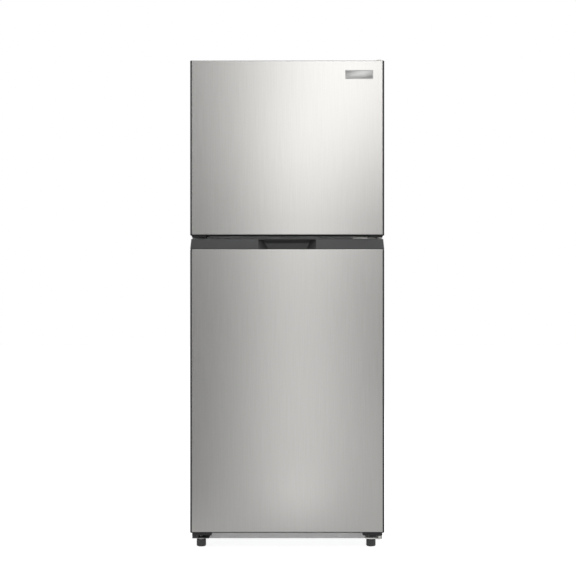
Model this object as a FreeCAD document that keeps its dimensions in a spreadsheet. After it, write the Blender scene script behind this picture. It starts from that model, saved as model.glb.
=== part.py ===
import FreeCAD
import Part
import Sketcher

import math
import os
import re

# Top freezer refrigerator: two doors on one hinge line, in front of a foamed cabinet.
# +Z is up from the floor, the doors face -Y and +X is the hinge side. The origin is on
# the floor, under the middle of the overall box. Every size is in millimetres.

Vector = FreeCAD.Vector

# ---------------------------------------------------------------- driving sizes

SIZES = {
    # doors
    "door_width": 605,
    "door_depth": 60,
    "door_floor_gap": 50.5,
    "fridge_door_height": 916,
    "freezer_door_height": 546,
    "door_gap": 10.5,
    "gasket_gap": 12,
    "panel_fold": 8,
    "panel_sheet": 1,
    "panel_corner": 2.5,
    "frame_reveal": 5,
    "frame_corner": 3,
    "frame_round": 4,
    "frame_setback": 1.5,
    "frame_bottom": 3,
    "top_bar": 3,
    "top_edge": 1,
    "handle_cap_height": 32,
    "handle_cap_taper": 3.5,
    "cap_round": 1.5,
    "cap_wall": 5,
    "cap_margin": 12,
    "pocket_width": 182,
    "pocket_back_top": 152,
    "pocket_back_bottom": 118,
    "pocket_depth": 32,
    "pocket_ceiling": 1.5,
    "slot_height": 10,
    "slot_depth": 14,
    "pocket_floor": 0.8,
    "grip_depth": 14,
    "grip_width": 150,
    "grip_back": 24,
    "grip_wall": 2,
    "stop_plate": 5,
    "stop_length": 44,
    "stop_setback": 4,
    # door liner, gasket and bins
    "door_liner_wall": 2,
    "dike_width": 24,
    "dike_reach": 38,
    "dike_clearance": 8,
    "dike_round": 6,
    "gasket_inset": 7,
    "gasket_width": 16,
    "gasket_face_gap": 1,
    "gasket_corner": 3,
    "bin_clearance": 1,
    "bin_reach": 96,
    "bin_wall": 2.5,
    "bin_corner": 16,
    "bin_lug": 6,
    "lug_height": 12,
    "lug_setback": 12,
    "freezer_bin_height": 92,
    "freezer_bin_rise": 60,
    "freezer_bin_pitch": 200,
    "fridge_bin_height": 105,
    "bottle_bin_height": 128,
    "fridge_bin_low": 136,
    "fridge_bin_middle": 400,
    "fridge_bin_high": 665,
    # hinge line
    "hinge_inset": 14.5,
    "hinge_setback": 24,
    "pin_radius": 4,
    "pin_play": 0.06,
    "pin_grip": 14,
    "boss_width": 26,
    "boss_depth": 34,
    "boss_height": 20,
    "boss_offset": 3,
    "hinge_sheet": 3,
    "hinge_rest": 2,
    "middle_reach": 82,
    "middle_plate_half": 11,
    "collar_wall": 3,
    "top_reach": 62,
    "top_base_front": 5,
    "top_base_back": 70,
    "top_riser": 3,
    "cover_wall": 2,
    "cover_corner": 6,
    "cover_over": 3,
    # cabinet
    "cabinet_inset": 2,
    "cabinet_depth": 560,
    "cabinet_bottom": 21,
    "cabinet_drop": 10,
    "cabinet_corner": 4,
    "sheet_steel": 1,
    "flange_width": 40,
    "wall_side": 46,
    "wall_top": 48,
    "wall_back": 58,
    "wall_floor": 56,
    "mullion_height": 64,
    "liner_wall": 2,
    "liner_corner": 14,
    "liner_lip": 6,
    "rail_flange": 26,
    # machine compartment
    "machine_depth": 190,
    "machine_height": 250,
    "machine_wall": 46,
    # shelves
    "ledge_reach": 7,
    "ledge_height": 6,
    "shelf_front": 112,
    "shelf_play": 1.5,
    "shelf_glass": 4,
    "shelf_back_gap": 26,
    "trim_width": 13,
    "trim_height": 11,
    "crisper_shelf": 300,
    "middle_shelf": 512,
    "upper_shelf": 725,
    "freezer_shelf_rise": 229,
    # crispers
    "crisper_side_gap": 14.5,
    "crisper_between": 3,
    "crisper_height": 190,
    "crisper_wall": 2.5,
    "crisper_corner": 14,
    "crisper_rest": 0.3,
    "crisper_front": 110,
    "crisper_back_gap": 6,
    "crisper_grip": 13,
    # feet and rollers
    "right_foot_inset": 38.5,
    "left_foot_inset": 31.5,
    "foot_back": 56,
    "foot_radius": 14.8,
    "foot_height": 22,
    "foot_round": 3,
    "stem_radius": 4,
    "nut_height": 5.6,
    "nut_radius": 11,
    "stem_over": 5,
    "leaf_level": 28,
    "leaf_width": 53,
    "leaf_inset": 4.5,
    "leaf_top": 50,
    "leaf_setback": 31,
    "flange_sheet": 2,
    "flange_height": 12.5,
    "foot_flange_width": 19,
    "window_inset": 6,
    "window_width": 7,
    "window_rise": 4.5,
    "window_height": 5,
    "closer_length": 61,
    "closer_height": 8,
    "closer_front": 6,
    "closer_back": 40,
    "cam_drop": 14,
    "cam_wall": 4,
    "tip_reach": 12,
    "arm_rise": 1,
    "screw_head": 4.5,
    "screw_cap": 2.5,
    "screw_shank": 2.2,
    "thread_play": 0.05,
    "roller_radius": 20,
    "roller_width": 16,
    "roller_inset": 42.5,
    "roller_back": 38,
    "axle_radius": 3,
    "axle_play": 0.06,
    "bracket_sheet": 2,
    "roller_side_play": 1,
    "fork_half": 12,
    "roller_round": 1.5,
    # compressor, its pipes and the drip pan
    "plate_setback": 2,
    "plate_rim": 12,
    "compressor_across": 70,
    "compressor_radius": 66,
    "compressor_height": 140,
    "compressor_dome": 34,
    "compressor_base": 16,
    "seam_level": 70,
    "seam_height": 6,
    "seam_proud": 3,
    "saddle_half_width": 80,
    "saddle_half_depth": 55,
    "saddle_sheet": 3,
    "grommet_radius": 9,
    "grommet_height": 12,
    "grommet_across": 68,
    "grommet_along": 42,
    "relay_start": 55,
    "relay_end": 100,
    "relay_half": 28,
    "relay_low": 20,
    "relay_high": 78,
    "stub_reach": 86,
    "stub_radius": 4,
    "discharge_level": 60,
    "suction_level": 40,
    "suction_offset": 28,
    "suction_run": 26,
    "suction_tube": 3.5,
    "pipe_bend": 14,
    "drier_radius": 9,
    "drier_length": 40,
    "pan_left": 60,
    "pan_right": 238,
    "pan_front_gap": 22,
    "pan_back_gap": 24,
    "pan_height": 46,
    "pan_wall": 2.5,
    "pan_corner": 12,
    # rear condenser
    "condenser_reach": 31,
    "condenser_tube": 2.5,
    "condenser_wire": 0.9,
    "condenser_margin": 74.5,
    "condenser_low": 330,
    "condenser_pitch": 70,
    "bend_condenser": 18,
    "wire_pitch": 18,
    "weld_sink": 0.5,
    "wire_over": 8,
    "tail_length": 30,
    "clip_inset": 24,
    "clip_width": 16,
    "clip_half": 9,
    # evaporator and fan
    "cover_stand": 76,
    "cover_sheet": 3,
    "fin_sheet": 1,
    "fin_pitch": 15,
    "fin_height": 150,
    "fin_depth": 54,
    "fin_rise": 30,
    "fin_margin": 82,
    "evaporator_tube": 4,
    "evaporator_pitch": 32,
    "evaporator_rise": 16,
    "evaporator_overhang": 26,
    "evaporator_back": 10,
    "heater_rise": 16,
    "heater_radius": 5,
    "heater_holder": 8,
    "intake_pitch": 40,
    "intake_half": 12,
    "intake_low": 22,
    "intake_high": 38,
    "grille_pitch": 13,
    "grille_bar": 2.5,
    "grille_depth": 2,
    "grille_margin": 4,
    "fan_radius": 48,
    "fan_rise": 345,
    "fan_hub": 15,
    "fan_width": 18,
    "fan_shaft": 2.5,
    "fan_back": 62,
    "fan_gap": 3,
    "blade_sheet": 3,
    "motor_radius": 24,
    "motor_depth": 34,
    "motor_arm_half": 60,
    "motor_arm_rise": 9,
    "motor_arm_sheet": 4,
    "slider_travel": 28,
    "slider_rise": 199,
    "slot_margin": 5,
    "slot_half": 3.3,
    "knob_half_width": 12,
    "knob_half_height": 8,
    "knob_depth": 9,
    "keeper_half_width": 8,
    "keeper_half_height": 7,
    "keeper_sheet": 2,
    # wire shelf
    "frame_wire": 3,
    "cross_wire": 1.8,
    "cross_wire_pitch": 24,
    "wire_sink": 1.4,
    "wire_shelf_margin": 6,
    # badge
    "badge_width": 87,
    "badge_height": 27.5,
    "badge_proud": 1.5,
    "badge_inset": 78.5,
    "badge_drop": 44.5,
    "badge_rim": 2,
    "badge_corner": 1,
    "badge_field": 0.4,
    # fridge fittings
    "housing_half": 125,
    "housing_height": 52,
    "housing_depth": 120,
    "housing_wall": 3,
    "housing_round": 6,
    "housing_front": 4,
    "dial_radius": 21,
    "dial_depth": 14,
    "dial_across": 62,
    "dial_ridge": 3,
    "dial_round": 2,
    "dial_shaft": 4,
    "dial_shaft_length": 12,
    "lens_reach": 80,
    "lens_depth": 9,
    "lens_inset": 24,
    "lens_corner": 8,
    "duct_half": 58,
    "duct_depth": 22,
    "duct_rise": 24,
    "vent_half": 34,
    "vent_depth": 6,
    "vent_rise": 80,
    "vent_pitch": 150,
    "vent_height": 12,
    "switch_half": 7,
    "switch_height": 30,
    "switch_inset": 32.5,
    "switch_drop": 74,
    "switch_depth": 21.5,
    "switch_bezel": 2,
    "bezel_proud": 1.5,
    "plunger_radius": 3,
    "plunger_play": 0.2,
    "plunger_round": 1.2,
    "touch_gap": 0.3,
}

# Places that follow from the sizes above, each written once.
PLACES = {
    "front": "badge_proud - (badge_proud + door_depth + gasket_gap + cabinet_depth + condenser_reach) / 2",
    "door_back": "front + door_depth",
    "cabinet_front": "door_back + gasket_gap",
    "cabinet_back": "cabinet_front + cabinet_depth",
    "door_half": "door_width / 2",
    "cabinet_half": "door_half - cabinet_inset",
    "fridge_low": "door_floor_gap",
    "fridge_high": "door_floor_gap + fridge_door_height",
    "fridge_panel_top": "fridge_high - handle_cap_height",
    "freezer_low": "fridge_high + door_gap",
    "freezer_high": "freezer_low + freezer_door_height",
    "cabinet_top": "freezer_high - cabinet_drop",
    "freezer_panel_top": "freezer_high - top_edge",
    "panel_half": "door_half - frame_reveal",
    "hinge_x": "door_half - hinge_inset",
    "hinge_y": "front + hinge_setback",
    "cavity_half": "cabinet_half - wall_side",
    "cavity_back": "cabinet_back - wall_back",
    "fridge_floor": "cabinet_bottom + wall_floor",
    "gap_middle": "fridge_high + door_gap / 2",
    "fridge_ceiling": "gap_middle - mullion_height / 2",
    "freezer_floor": "gap_middle + mullion_height / 2",
    "freezer_ceiling": "cabinet_top - wall_top",
    "machine_front": "cabinet_back - machine_depth",
    "step_front": "machine_front - machine_wall",
    "step_top": "machine_height + machine_wall",
    "dike_half": "cavity_half - dike_clearance",
    "bin_half": "dike_half - dike_width - bin_clearance",
    "cover_face": "cavity_back - cover_stand",
    "shelf_edge": "cabinet_front + shelf_front",
    "shelf_back": "cavity_back - shelf_back_gap",
    "plate_top": "2 * roller_radius + 2 * bracket_sheet",
    "leaf_low": "fridge_high + hinge_rest",
    "right_foot_x": "door_half - right_foot_inset",
    "left_foot_x": "left_foot_inset - door_half",
    "foot_y": "front + foot_back",
    "leaf_outer": "door_half - leaf_inset",
    "leaf_inner": "leaf_outer - leaf_width",
    "roller_spread": "cabinet_half - roller_inset",
    "switch_across": "switch_inset - cabinet_half",
    "switch_level": "fridge_ceiling - switch_drop",
    "badge_across": "door_half - badge_inset",
    "condenser_width": "2 * (cabinet_half - condenser_margin)",
    "fin_span": "2 * (cavity_half - fin_margin)",
    "fin_low": "freezer_floor + fin_rise",
    "fan_height": "freezer_floor + fan_rise",
    "slider_level": "freezer_floor + slider_rise",
    "freezer_shelf": "freezer_floor + freezer_shelf_rise",
    "freezer_bin_low": "freezer_floor + freezer_bin_rise",
    "freezer_bin_high": "freezer_bin_low + freezer_bin_pitch",
    "roller_y": "cabinet_back - roller_back",
    "condenser_y": "cabinet_back + condenser_reach - 2 * condenser_wire + weld_sink - condenser_tube",
}

WORD = re.compile(r"[a-z][a-z_]*[a-z]")


def place(text):
    """An expression on the sheet: sizes by name become cells, places are written out."""

    def swap(match):
        word = match.group(0)
        if word in PLACES:
            return "(" + place(PLACES[word]) + ")"
        return "size." + word if word in SIZES else word

    return WORD.sub(swap, str(text))


doc = FreeCAD.newDocument("refrigerator")
sheet = doc.addObject("Spreadsheet::Sheet", "size")
for row, (alias, number) in enumerate(SIZES.items(), start=1):
    sheet.set(f"A{row}", alias)
    sheet.set(f"B{row}", str(number))
    sheet.setAlias(f"B{row}", alias)
doc.recompute()


def value(text):
    """The number that an expression has now, in millimetres."""
    return float(sheet.evalExpression(place(text)))


def about(middle, reach):
    """The pair of places at a reach below and above a middle."""
    return (f"{middle} - ({reach})", f"{middle} + ({reach})")


def ordered(first, second):
    """A pair of places with the lower one first."""
    return tuple(sorted((first, second), key=value))


# ---------------------------------------------------------------- ways to build a piece

PLANES = {"X": "YZ_Plane", "Y": "XZ_Plane", "Z": "XY_Plane"}
ACROSS = {"X": ("y", "z"), "Y": ("x", "z"), "Z": ("x", "y")}
NORMAL_SIGN = {"X": 1, "Y": -1, "Z": 1}
AXES = {"X": Vector(1, 0, 0), "Y": Vector(0, 1, 0), "Z": Vector(0, 0, 1)}


def box_outline(low, high):
    """A rectangle from its lower to its upper corner, as an outline of four corners."""
    return [(low[0], low[1]), (high[0], low[1]), (high[0], high[1]), (low[0], high[1])]


def within(edge, outline):
    """True for an edge of an XZ plane that lies inside a box outline or on it."""
    box = edge.BoundBox
    low, high = ([value(text) for text in corner] for corner in (outline[0], outline[2]))
    inside_x = box.XMin > low[0] - 0.01 and box.XMax < high[0] + 0.01
    return inside_x and box.ZMin > low[1] - 0.01 and box.ZMax < high[1] + 0.01


class Piece:
    """A PartDesign body whose sketches lie square to an axis and run from low to high."""

    def __init__(self, label):
        self.body = doc.addObject("PartDesign::Body", label)
        self.body.Label = label

    def sketch(self, axis, low):
        sketch = self.body.newObject("Sketcher::SketchObject", self.body.Label + "_sketch")
        role = PLANES[axis]
        plane = next(o for o in self.body.Origin.OriginFeatures if o.Role == role)
        sketch.AttachmentSupport = [(plane, "")]
        sketch.MapMode = "FlatFace"
        sign = "-" if NORMAL_SIGN[axis] < 0 else ""
        sketch.setExpression("AttachmentOffset.Base.z", place(f"{sign}({low})"))
        return sketch

    def outline(self, sketch, corners):
        spots = [Vector(value(x), value(y), 0) for x, y in corners]
        count = len(spots)
        for n, spot in enumerate(spots):
            sketch.addGeometry(Part.LineSegment(spot, spots[(n + 1) % count]), False)
        for n in range(count):
            sketch.addConstraint(Sketcher.Constraint("Coincident", n, 2, (n + 1) % count, 1))
        for n, (x, y) in enumerate(corners):
            for kind, text, now in (("DistanceX", x, spots[n].x), ("DistanceY", y, spots[n].y)):
                tie = sketch.addConstraint(Sketcher.Constraint(kind, -1, 1, n, 1, now))
                sketch.setExpression(f"Constraints[{tie}]", place(text))

    def circle(self, sketch, centre, radius):
        spot = Vector(value(centre[0]), value(centre[1]), 0)
        ring = sketch.addGeometry(Part.Circle(spot, Vector(0, 0, 1), value(radius)), False)
        tie = sketch.addConstraint(Sketcher.Constraint("Radius", ring, value(radius)))
        sketch.setExpression(f"Constraints[{tie}]", place(radius))
        for kind, text, now in (("DistanceX", centre[0], spot.x), ("DistanceY", centre[1], spot.y)):
            tie = sketch.addConstraint(Sketcher.Constraint(kind, -1, 1, ring, 3, now))
            sketch.setExpression(f"Constraints[{tie}]", place(text))

    def drawn(self, axis, shape, low):
        sketch = self.sketch(axis, low)
        if isinstance(shape, tuple):
            self.circle(sketch, *shape)
        else:
            self.outline(sketch, shape)
        return sketch

    def pad(self, axis, shape, low, high, corner=None):
        """Adds an outline, or a (centre, radius) circle, from low to high along axis."""
        feature = self.body.newObject("PartDesign::Pad", self.body.Label + "_pad")
        feature.Profile = self.drawn(axis, shape, low)
        feature.Reversed = NORMAL_SIGN[axis] < 0
        feature.setExpression("Length", place(f"({high}) - ({low})"))
        doc.recompute()
        if corner:
            self.round_corners(axis, shape, corner)
        return feature

    def pocket(self, axis, shape, low, high, corner=None):
        """Cuts an outline, or a (centre, radius) circle, from low to high along axis."""
        before = self.body.Shape.Volume
        feature = self.body.newObject("PartDesign::Pocket", self.body.Label + "_pocket")
        feature.Profile = self.drawn(axis, shape, low)
        feature.Reversed = NORMAL_SIGN[axis] > 0
        feature.setExpression("Length", place(f"({high}) - ({low})"))
        doc.recompute()
        if self.body.Shape.Volume > before - 1e-3:
            raise ValueError(f"a pocket of {self.body.Label} cuts nothing")
        if corner:
            self.round_corners(axis, shape, corner)
        return feature

    def round_corners(self, axis, shape, corner):
        """Rounds the edges that run along axis through the corners of an outline."""
        first, second = ACROSS[axis]
        spots = [(value(x), value(y)) for x, y in shape]
        names = []
        for n, edge in enumerate(self.body.Shape.Edges, start=1):
            box = edge.BoundBox
            size = {"x": box.XLength, "y": box.YLength, "z": box.ZLength}
            middle = {"x": box.Center.x, "y": box.Center.y, "z": box.Center.z}
            if size[first] < 1e-6 and size[second] < 1e-6:
                near = [math.hypot(middle[first] - a, middle[second] - b) for a, b in spots]
                if min(near) < 1e-4:
                    names.append(f"Edge{n}")
        self.fillet(names, corner)

    def round_rim(self, axis, level, radius, inside=None):
        """Rounds the edges that lie in the plane at level, all or those within an outline."""
        at = value(level)
        names = []
        for n, edge in enumerate(self.body.Shape.Edges, start=1):
            box = edge.BoundBox
            ends = {"X": (box.XMin, box.XMax), "Y": (box.YMin, box.YMax), "Z": (box.ZMin, box.ZMax)}
            if all(abs(end - at) < 1e-4 for end in ends[axis]):
                if inside is None or within(edge, inside):
                    names.append(f"Edge{n}")
        self.fillet(names, radius)

    def fillet(self, names, radius):
        if not names:
            raise ValueError(f"{self.body.Label} has no edge to round there")
        tip = self.body.Tip
        feature = self.body.newObject("PartDesign::Fillet", self.body.Label + "_round")
        feature.Base = (tip, names)
        feature.setExpression("Radius", place(radius))
        doc.recompute()


def block(name, x, y, z):
    """A Part box between three (low, high) pairs of places."""
    made = doc.addObject("Part::Box", name)
    for axis, length, (low, high) in zip("xyz", ("Length", "Width", "Height"), (x, y, z)):
        made.setExpression(f"Placement.Base.{axis}", place(low))
        made.setExpression(length, place(f"({high}) - ({low})"))
    return made


TURNS = {"X": (Vector(0, 1, 0), 90), "Y": (Vector(1, 0, 0), -90), "Z": (Vector(0, 0, 1), 0)}


def rod(name, axis, at, radius, length):
    """A Part cylinder that starts at a place and runs along +axis."""
    made = doc.addObject("Part::Cylinder", name)
    made.Placement = FreeCAD.Placement(Vector(), FreeCAD.Rotation(*TURNS[axis]))
    for key, text in zip("xyz", at):
        made.setExpression(f"Placement.Base.{key}", place(text))
    made.setExpression("Radius", place(radius))
    made.setExpression("Height", place(length))
    return made


def side_block(name, side, x, y, z):
    """A block whose x pair counts outward from the middle, on the side given by its sign."""
    low, high = x if side > 0 else (f"-({x[1]})", f"-({x[0]})")
    return block(name, (low, high), y, z)


def under(thing):
    return thing.body if isinstance(thing, Piece) else thing


def fuse(label, *things):
    made = doc.addObject("Part::MultiFuse", label)
    made.Shapes = [under(t) for t in things]
    return made


def cut(label, base, *tools):
    made = doc.addObject("Part::Cut", label)
    made.Base = under(base)
    made.Tool = under(tools[0]) if len(tools) == 1 else fuse(label + "_tools", *tools)
    return made


def group(label, *things):
    """Separate solids that share one name."""
    made = doc.addObject("Part::Compound", label)
    made.Links = [under(t) for t in things]
    return made


def bent_line(points, bend):
    """Straight runs joined by tangent arcs of one bend radius."""
    edges, start = [], points[0]
    for before, corner, after in zip(points, points[1:], points[2:]):
        to_start = (before - corner).normalize()
        to_end = (after - corner).normalize()
        half = to_start.getAngle(to_end) / 2
        run = bend / math.tan(half)
        enter, leave = corner + to_start * run, corner + to_end * run
        middle = (to_start + to_end).normalize()
        top = corner + middle * (bend / math.sin(half) - bend)
        if (enter - start).Length > 1e-6:
            edges.append(Part.LineSegment(start, enter).toShape())
        edges.append(Part.Arc(enter, top, leave).toShape())
        start = leave
    edges.append(Part.LineSegment(start, points[-1]).toShape())
    return Part.Wire(edges)


def tube(label, points, radius, bend):
    """A round tube along straight runs and arcs. Its shape is swept here, from the sheet's sizes."""
    line = bent_line(points, bend)
    along = (points[1] - points[0]).normalize()
    ring = Part.Wire([Part.Circle(points[0], along, radius).toShape()])
    made = doc.addObject("Part::Feature", label)
    made.Shape = line.makePipeShell([ring], True, False)
    expected = math.pi * radius**2 * line.Length
    if abs(made.Shape.Volume / expected - 1) > 0.01:
        raise ValueError(f"{label} has the wrong volume for its length")
    return made


def serpentine(plane_y, half, low, pitch, runs):
    """The corners of a tube that runs to and fro between +-half, climbing by pitch."""
    points = []
    for n in range(runs):
        side = half if n % 2 else -half
        points += [Vector(side, plane_y, low + n * pitch), Vector(-side, plane_y, low + n * pitch)]
    return points


NODES = []


def node(thing, label=None):
    """Marks an object as one of the parts that are written out."""
    made = under(thing)
    if label:
        made.Label = label
    NODES.append(made)
    return made


# ---------------------------------------------------------------- cabinet


def cabinet_shell():
    """One folded sheet over both sides and the top, with its flanges turned in at the front."""
    shell = Piece("cabinet_wrap")
    wrap = [
        ("-cabinet_half", "cabinet_bottom"),
        ("-cabinet_half", "cabinet_top"),
        ("cabinet_half", "cabinet_top"),
        ("cabinet_half", "cabinet_bottom"),
        ("cabinet_half - sheet_steel", "cabinet_bottom"),
        ("cabinet_half - sheet_steel", "cabinet_top - sheet_steel"),
        ("sheet_steel - cabinet_half", "cabinet_top - sheet_steel"),
        ("sheet_steel - cabinet_half", "cabinet_bottom"),
    ]
    shell.pad("Y", wrap, "cabinet_front", "cabinet_back")
    shell.round_corners("Y", wrap[5:7], "cabinet_corner - sheet_steel")
    shell.round_corners("Y", wrap[1:3], "cabinet_corner")
    flange = [
        ("sheet_steel/2 - cabinet_half", "cabinet_bottom"),
        ("sheet_steel/2 - cabinet_half", "cabinet_top - sheet_steel/2"),
        ("cabinet_half - sheet_steel/2", "cabinet_top - sheet_steel/2"),
        ("cabinet_half - sheet_steel/2", "cabinet_bottom"),
        ("cabinet_half - flange_width", "cabinet_bottom"),
        ("cabinet_half - flange_width", "freezer_ceiling + liner_lip"),
        ("flange_width - cabinet_half", "freezer_ceiling + liner_lip"),
        ("flange_width - cabinet_half", "cabinet_bottom"),
    ]
    rim = Piece("cabinet_flange")
    rim.pad("Y", flange, "cabinet_front", "cabinet_front + sheet_steel")
    rim.round_corners("Y", flange[1:3], "cabinet_corner - sheet_steel/2")
    whole = fuse("cabinet_folded", shell, rim)
    seat = switch_seat("shell_switch_seat", "touch_gap")
    return node(cut("cabinet_shell", whole, seat, *screw_holes("cabinet_shell")))


def switch_seat(name, play):
    """The space that the light switch takes up in the flange and the foam."""
    return block(
        name,
        (f"switch_across - switch_half - {play}", f"switch_across + switch_half + {play}"),
        ("cabinet_front - 1", "cabinet_front + 22"),
        (f"switch_level - switch_height/2 - {play}", f"switch_level + switch_height/2 + {play}"),
    )


SHELVES = ["crisper_shelf", "middle_shelf", "upper_shelf"]


def liner(label, floor, ceiling, ledges, ledge_end):
    """A vacuum formed box, open at the front, with a lip there and ledges for its shelves."""
    made = Piece(label + "_form")
    outer = box_outline(
        ("-cavity_half - liner_wall", f"{floor} - liner_wall"),
        ("cavity_half + liner_wall", f"{ceiling} + liner_wall"),
    )
    made.pad("Y", outer, "cabinet_front", "cavity_back + liner_wall")
    lip = box_outline(
        ("-cavity_half - liner_lip", f"{floor} - liner_lip"),
        ("cavity_half + liner_lip", f"{ceiling} + liner_lip"),
    )
    made.pad("Y", lip, "cabinet_front", "cabinet_front + sheet_steel")
    inner = box_outline(("-cavity_half", floor), ("cavity_half", ceiling))
    made.pocket("Y", inner, "cabinet_front", "cavity_back", corner="liner_corner")
    made.round_corners("Y", outer, "liner_corner + liner_wall")
    for level in ledges:
        for side in (-1, 1):
            root, edge = f"{side} * (cavity_half + liner_wall/2)", f"{side} * (cavity_half - ledge_reach)"
            near, far = ordered(root, edge)
            rail = box_outline((near, f"{level} - ledge_height"), (far, level))
            made.pad("Y", rail, "shelf_edge", ledge_end)
    return made


def freezer_liner():
    made = liner("freezer_liner", "freezer_floor", "freezer_ceiling", ["freezer_shelf"], "cover_face")
    return node(made, "freezer_liner")


def fridge_liner():
    """The fridge's liner rises at the back, over the machine compartment."""
    spare = ["(crisper_shelf + middle_shelf)/2", "(middle_shelf + upper_shelf)/2"]
    form = liner("fridge_liner", "fridge_floor", "fridge_ceiling", SHELVES + spare, "shelf_back")
    hump = Piece("liner_hump")
    side_view = box_outline(
        ("step_front", "fridge_floor - liner_wall/2"),
        ("cavity_back + liner_wall/2", "step_top"),
    )
    hump.pad("X", side_view, *about("0", "cavity_half + liner_wall/2"))
    below = block(
        "under_hump",
        ("-cavity_half - 2*liner_wall", "cavity_half + 2*liner_wall"),
        ("step_front + liner_wall", "cavity_back + 2*liner_wall"),
        ("fridge_floor - 2*liner_wall", "step_top - liner_wall"),
    )
    return node(cut("fridge_liner", fuse("liner_stepped", form, hump), below))


def cabinet_foam():
    """Polyurethane foamed in place: it fills everything between the steel and the liners."""
    whole = Piece("foam_block")
    side_view = [
        ("cabinet_front + sheet_steel", "cabinet_bottom + sheet_steel"),
        ("machine_front - sheet_steel", "cabinet_bottom + sheet_steel"),
        ("machine_front - sheet_steel", "machine_height"),
        ("cabinet_back - sheet_steel", "machine_height"),
        ("cabinet_back - sheet_steel", "cabinet_top - sheet_steel"),
        ("cabinet_front + sheet_steel", "cabinet_top - sheet_steel"),
    ]
    whole.pad("X", side_view, "sheet_steel - cabinet_half", "cabinet_half - sheet_steel")
    rooms = []
    for name, floor, ceiling in (
        ("freezer_room", "freezer_floor", "freezer_ceiling"),
        ("fridge_room", "fridge_floor", "fridge_ceiling"),
    ):
        rooms.append(
            block(
                name,
                ("-cavity_half - liner_wall", "cavity_half + liner_wall"),
                ("cabinet_front", "cavity_back + liner_wall"),
                (f"{floor} - liner_wall", f"{ceiling} + liner_wall"),
            )
        )
    hump = block(
        "foam_hump",
        ("-cavity_half - 2*liner_wall", "cavity_half + 2*liner_wall"),
        ("step_front + liner_wall", "cabinet_back"),
        ("fridge_floor - 2*liner_wall", "step_top - liner_wall"),
    )
    fridge_void = cut("fridge_void", rooms[1], hump)
    rail_space = block(
        "rail_space",
        ("-cabinet_half", "cabinet_half"),
        ("cabinet_front", "cabinet_front + rail_flange"),
        ("cabinet_bottom", "cabinet_bottom + rail_flange"),
    )
    corner_play = [
        block(
            f"top_corner_{n}",
            (f"{side} * cabinet_half - cabinet_corner", f"{side} * cabinet_half + cabinet_corner"),
            ("cabinet_front", "cabinet_back"),
            ("cabinet_top - cabinet_corner", "cabinet_top"),
        )
        for n, side in enumerate((-1, 1))
    ]
    seat = switch_seat("foam_switch_seat", "touch_gap")
    return node(cut("cabinet_foam", whole, rooms[0], fridge_void, rail_space, seat, *corner_play))


def cabinet_steel():
    """The flat back, the bent tray under the foam, and the rails across the front."""
    back = Piece("back_panel")
    sheet = box_outline(
        ("sheet_steel - cabinet_half", "machine_height"),
        ("cabinet_half - sheet_steel", "cabinet_top - sheet_steel"),
    )
    back.pad("Y", sheet, "cabinet_back - sheet_steel", "cabinet_back")
    back.round_corners("Y", sheet[2:], "cabinet_corner - sheet_steel")
    node(back)
    tray = Piece("base_tray")
    bent = [
        ("cabinet_front + rail_flange", "cabinet_bottom"),
        ("machine_front", "cabinet_bottom"),
        ("machine_front", "machine_height - sheet_steel"),
        ("cabinet_back - sheet_steel", "machine_height - sheet_steel"),
        ("cabinet_back - sheet_steel", "machine_height"),
        ("machine_front - sheet_steel", "machine_height"),
        ("machine_front - sheet_steel", "cabinet_bottom + sheet_steel"),
        ("cabinet_front + rail_flange", "cabinet_bottom + sheet_steel"),
    ]
    tray.pad("X", bent, "sheet_steel - cabinet_half", "cabinet_half - sheet_steel")
    node(tray)
    mullion = Piece("mullion_sheet")
    mullion.pad(
        "Y",
        box_outline(
            ("flange_width - cabinet_half", "fridge_ceiling + liner_lip"),
            ("cabinet_half - flange_width", "freezer_floor - liner_lip"),
        ),
        "cabinet_front",
        "cabinet_front + sheet_steel",
    )
    node(cut("mullion_rail", mullion, *screw_holes("mullion_rail")))
    rail = Piece("rail_channel")
    channel = [
        ("cabinet_front", "cabinet_bottom"),
        ("cabinet_front + rail_flange", "cabinet_bottom"),
        ("cabinet_front + rail_flange", "cabinet_bottom + sheet_steel"),
        ("cabinet_front + sheet_steel", "cabinet_bottom + sheet_steel"),
        ("cabinet_front + sheet_steel", "fridge_floor - liner_lip"),
        ("cabinet_front", "fridge_floor - liner_lip"),
    ]
    rail.pad("X", channel, "flange_width - cabinet_half", "cabinet_half - flange_width")
    node(cut("base_rail", rail, *screw_holes("base_rail")))


# ---------------------------------------------------------------- doors


def door_front(label, low, high):
    """The stainless face: a flat sheet whose four edges are folded back and closed."""
    front = Piece(label)
    face = box_outline(("-panel_half", low), ("panel_half", high))
    front.pad("Y", face, "front", "front + panel_fold", corner="panel_corner")
    front.round_rim("Y", "front", "panel_corner * 0.8")
    dish = box_outline(
        ("panel_sheet - panel_half", f"{low} + panel_sheet"),
        ("panel_half - panel_sheet", f"{high} - panel_sheet"),
    )
    front.pocket("Y", dish, "front + panel_sheet", "front + panel_fold", "panel_corner - panel_sheet")
    return node(front)


def hinge_boss(name, low, high):
    return block(
        name,
        ("hinge_x - boss_width/2", "panel_half"),
        about("hinge_y + boss_offset", "boss_depth/2"),
        (low, high),
    )


def pin_bore(name, low, high):
    return rod(name, "Z", ("hinge_x", "hinge_y", low), "pin_radius + pin_play", f"({high}) - ({low})")


def panel_envelope(name, low, high):
    return block(name, ("-panel_half", "panel_half"), ("front - 1", "front + panel_fold"), (low, high))


def frame_ring(label, low, high, inner_high, bottom="frame_bottom"):
    ring = Piece(label)
    outer = box_outline(("-door_half", low), ("door_half", high))
    ring.pad("Y", outer, "front + frame_setback", "door_back", corner="frame_corner")
    ring.round_rim("Y", "front + frame_setback", "frame_round")
    inner = box_outline(("-panel_half", f"{low} + {bottom}"), ("panel_half", inner_high))
    ring.pocket("Y", inner, "front", "door_back")
    return ring


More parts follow.
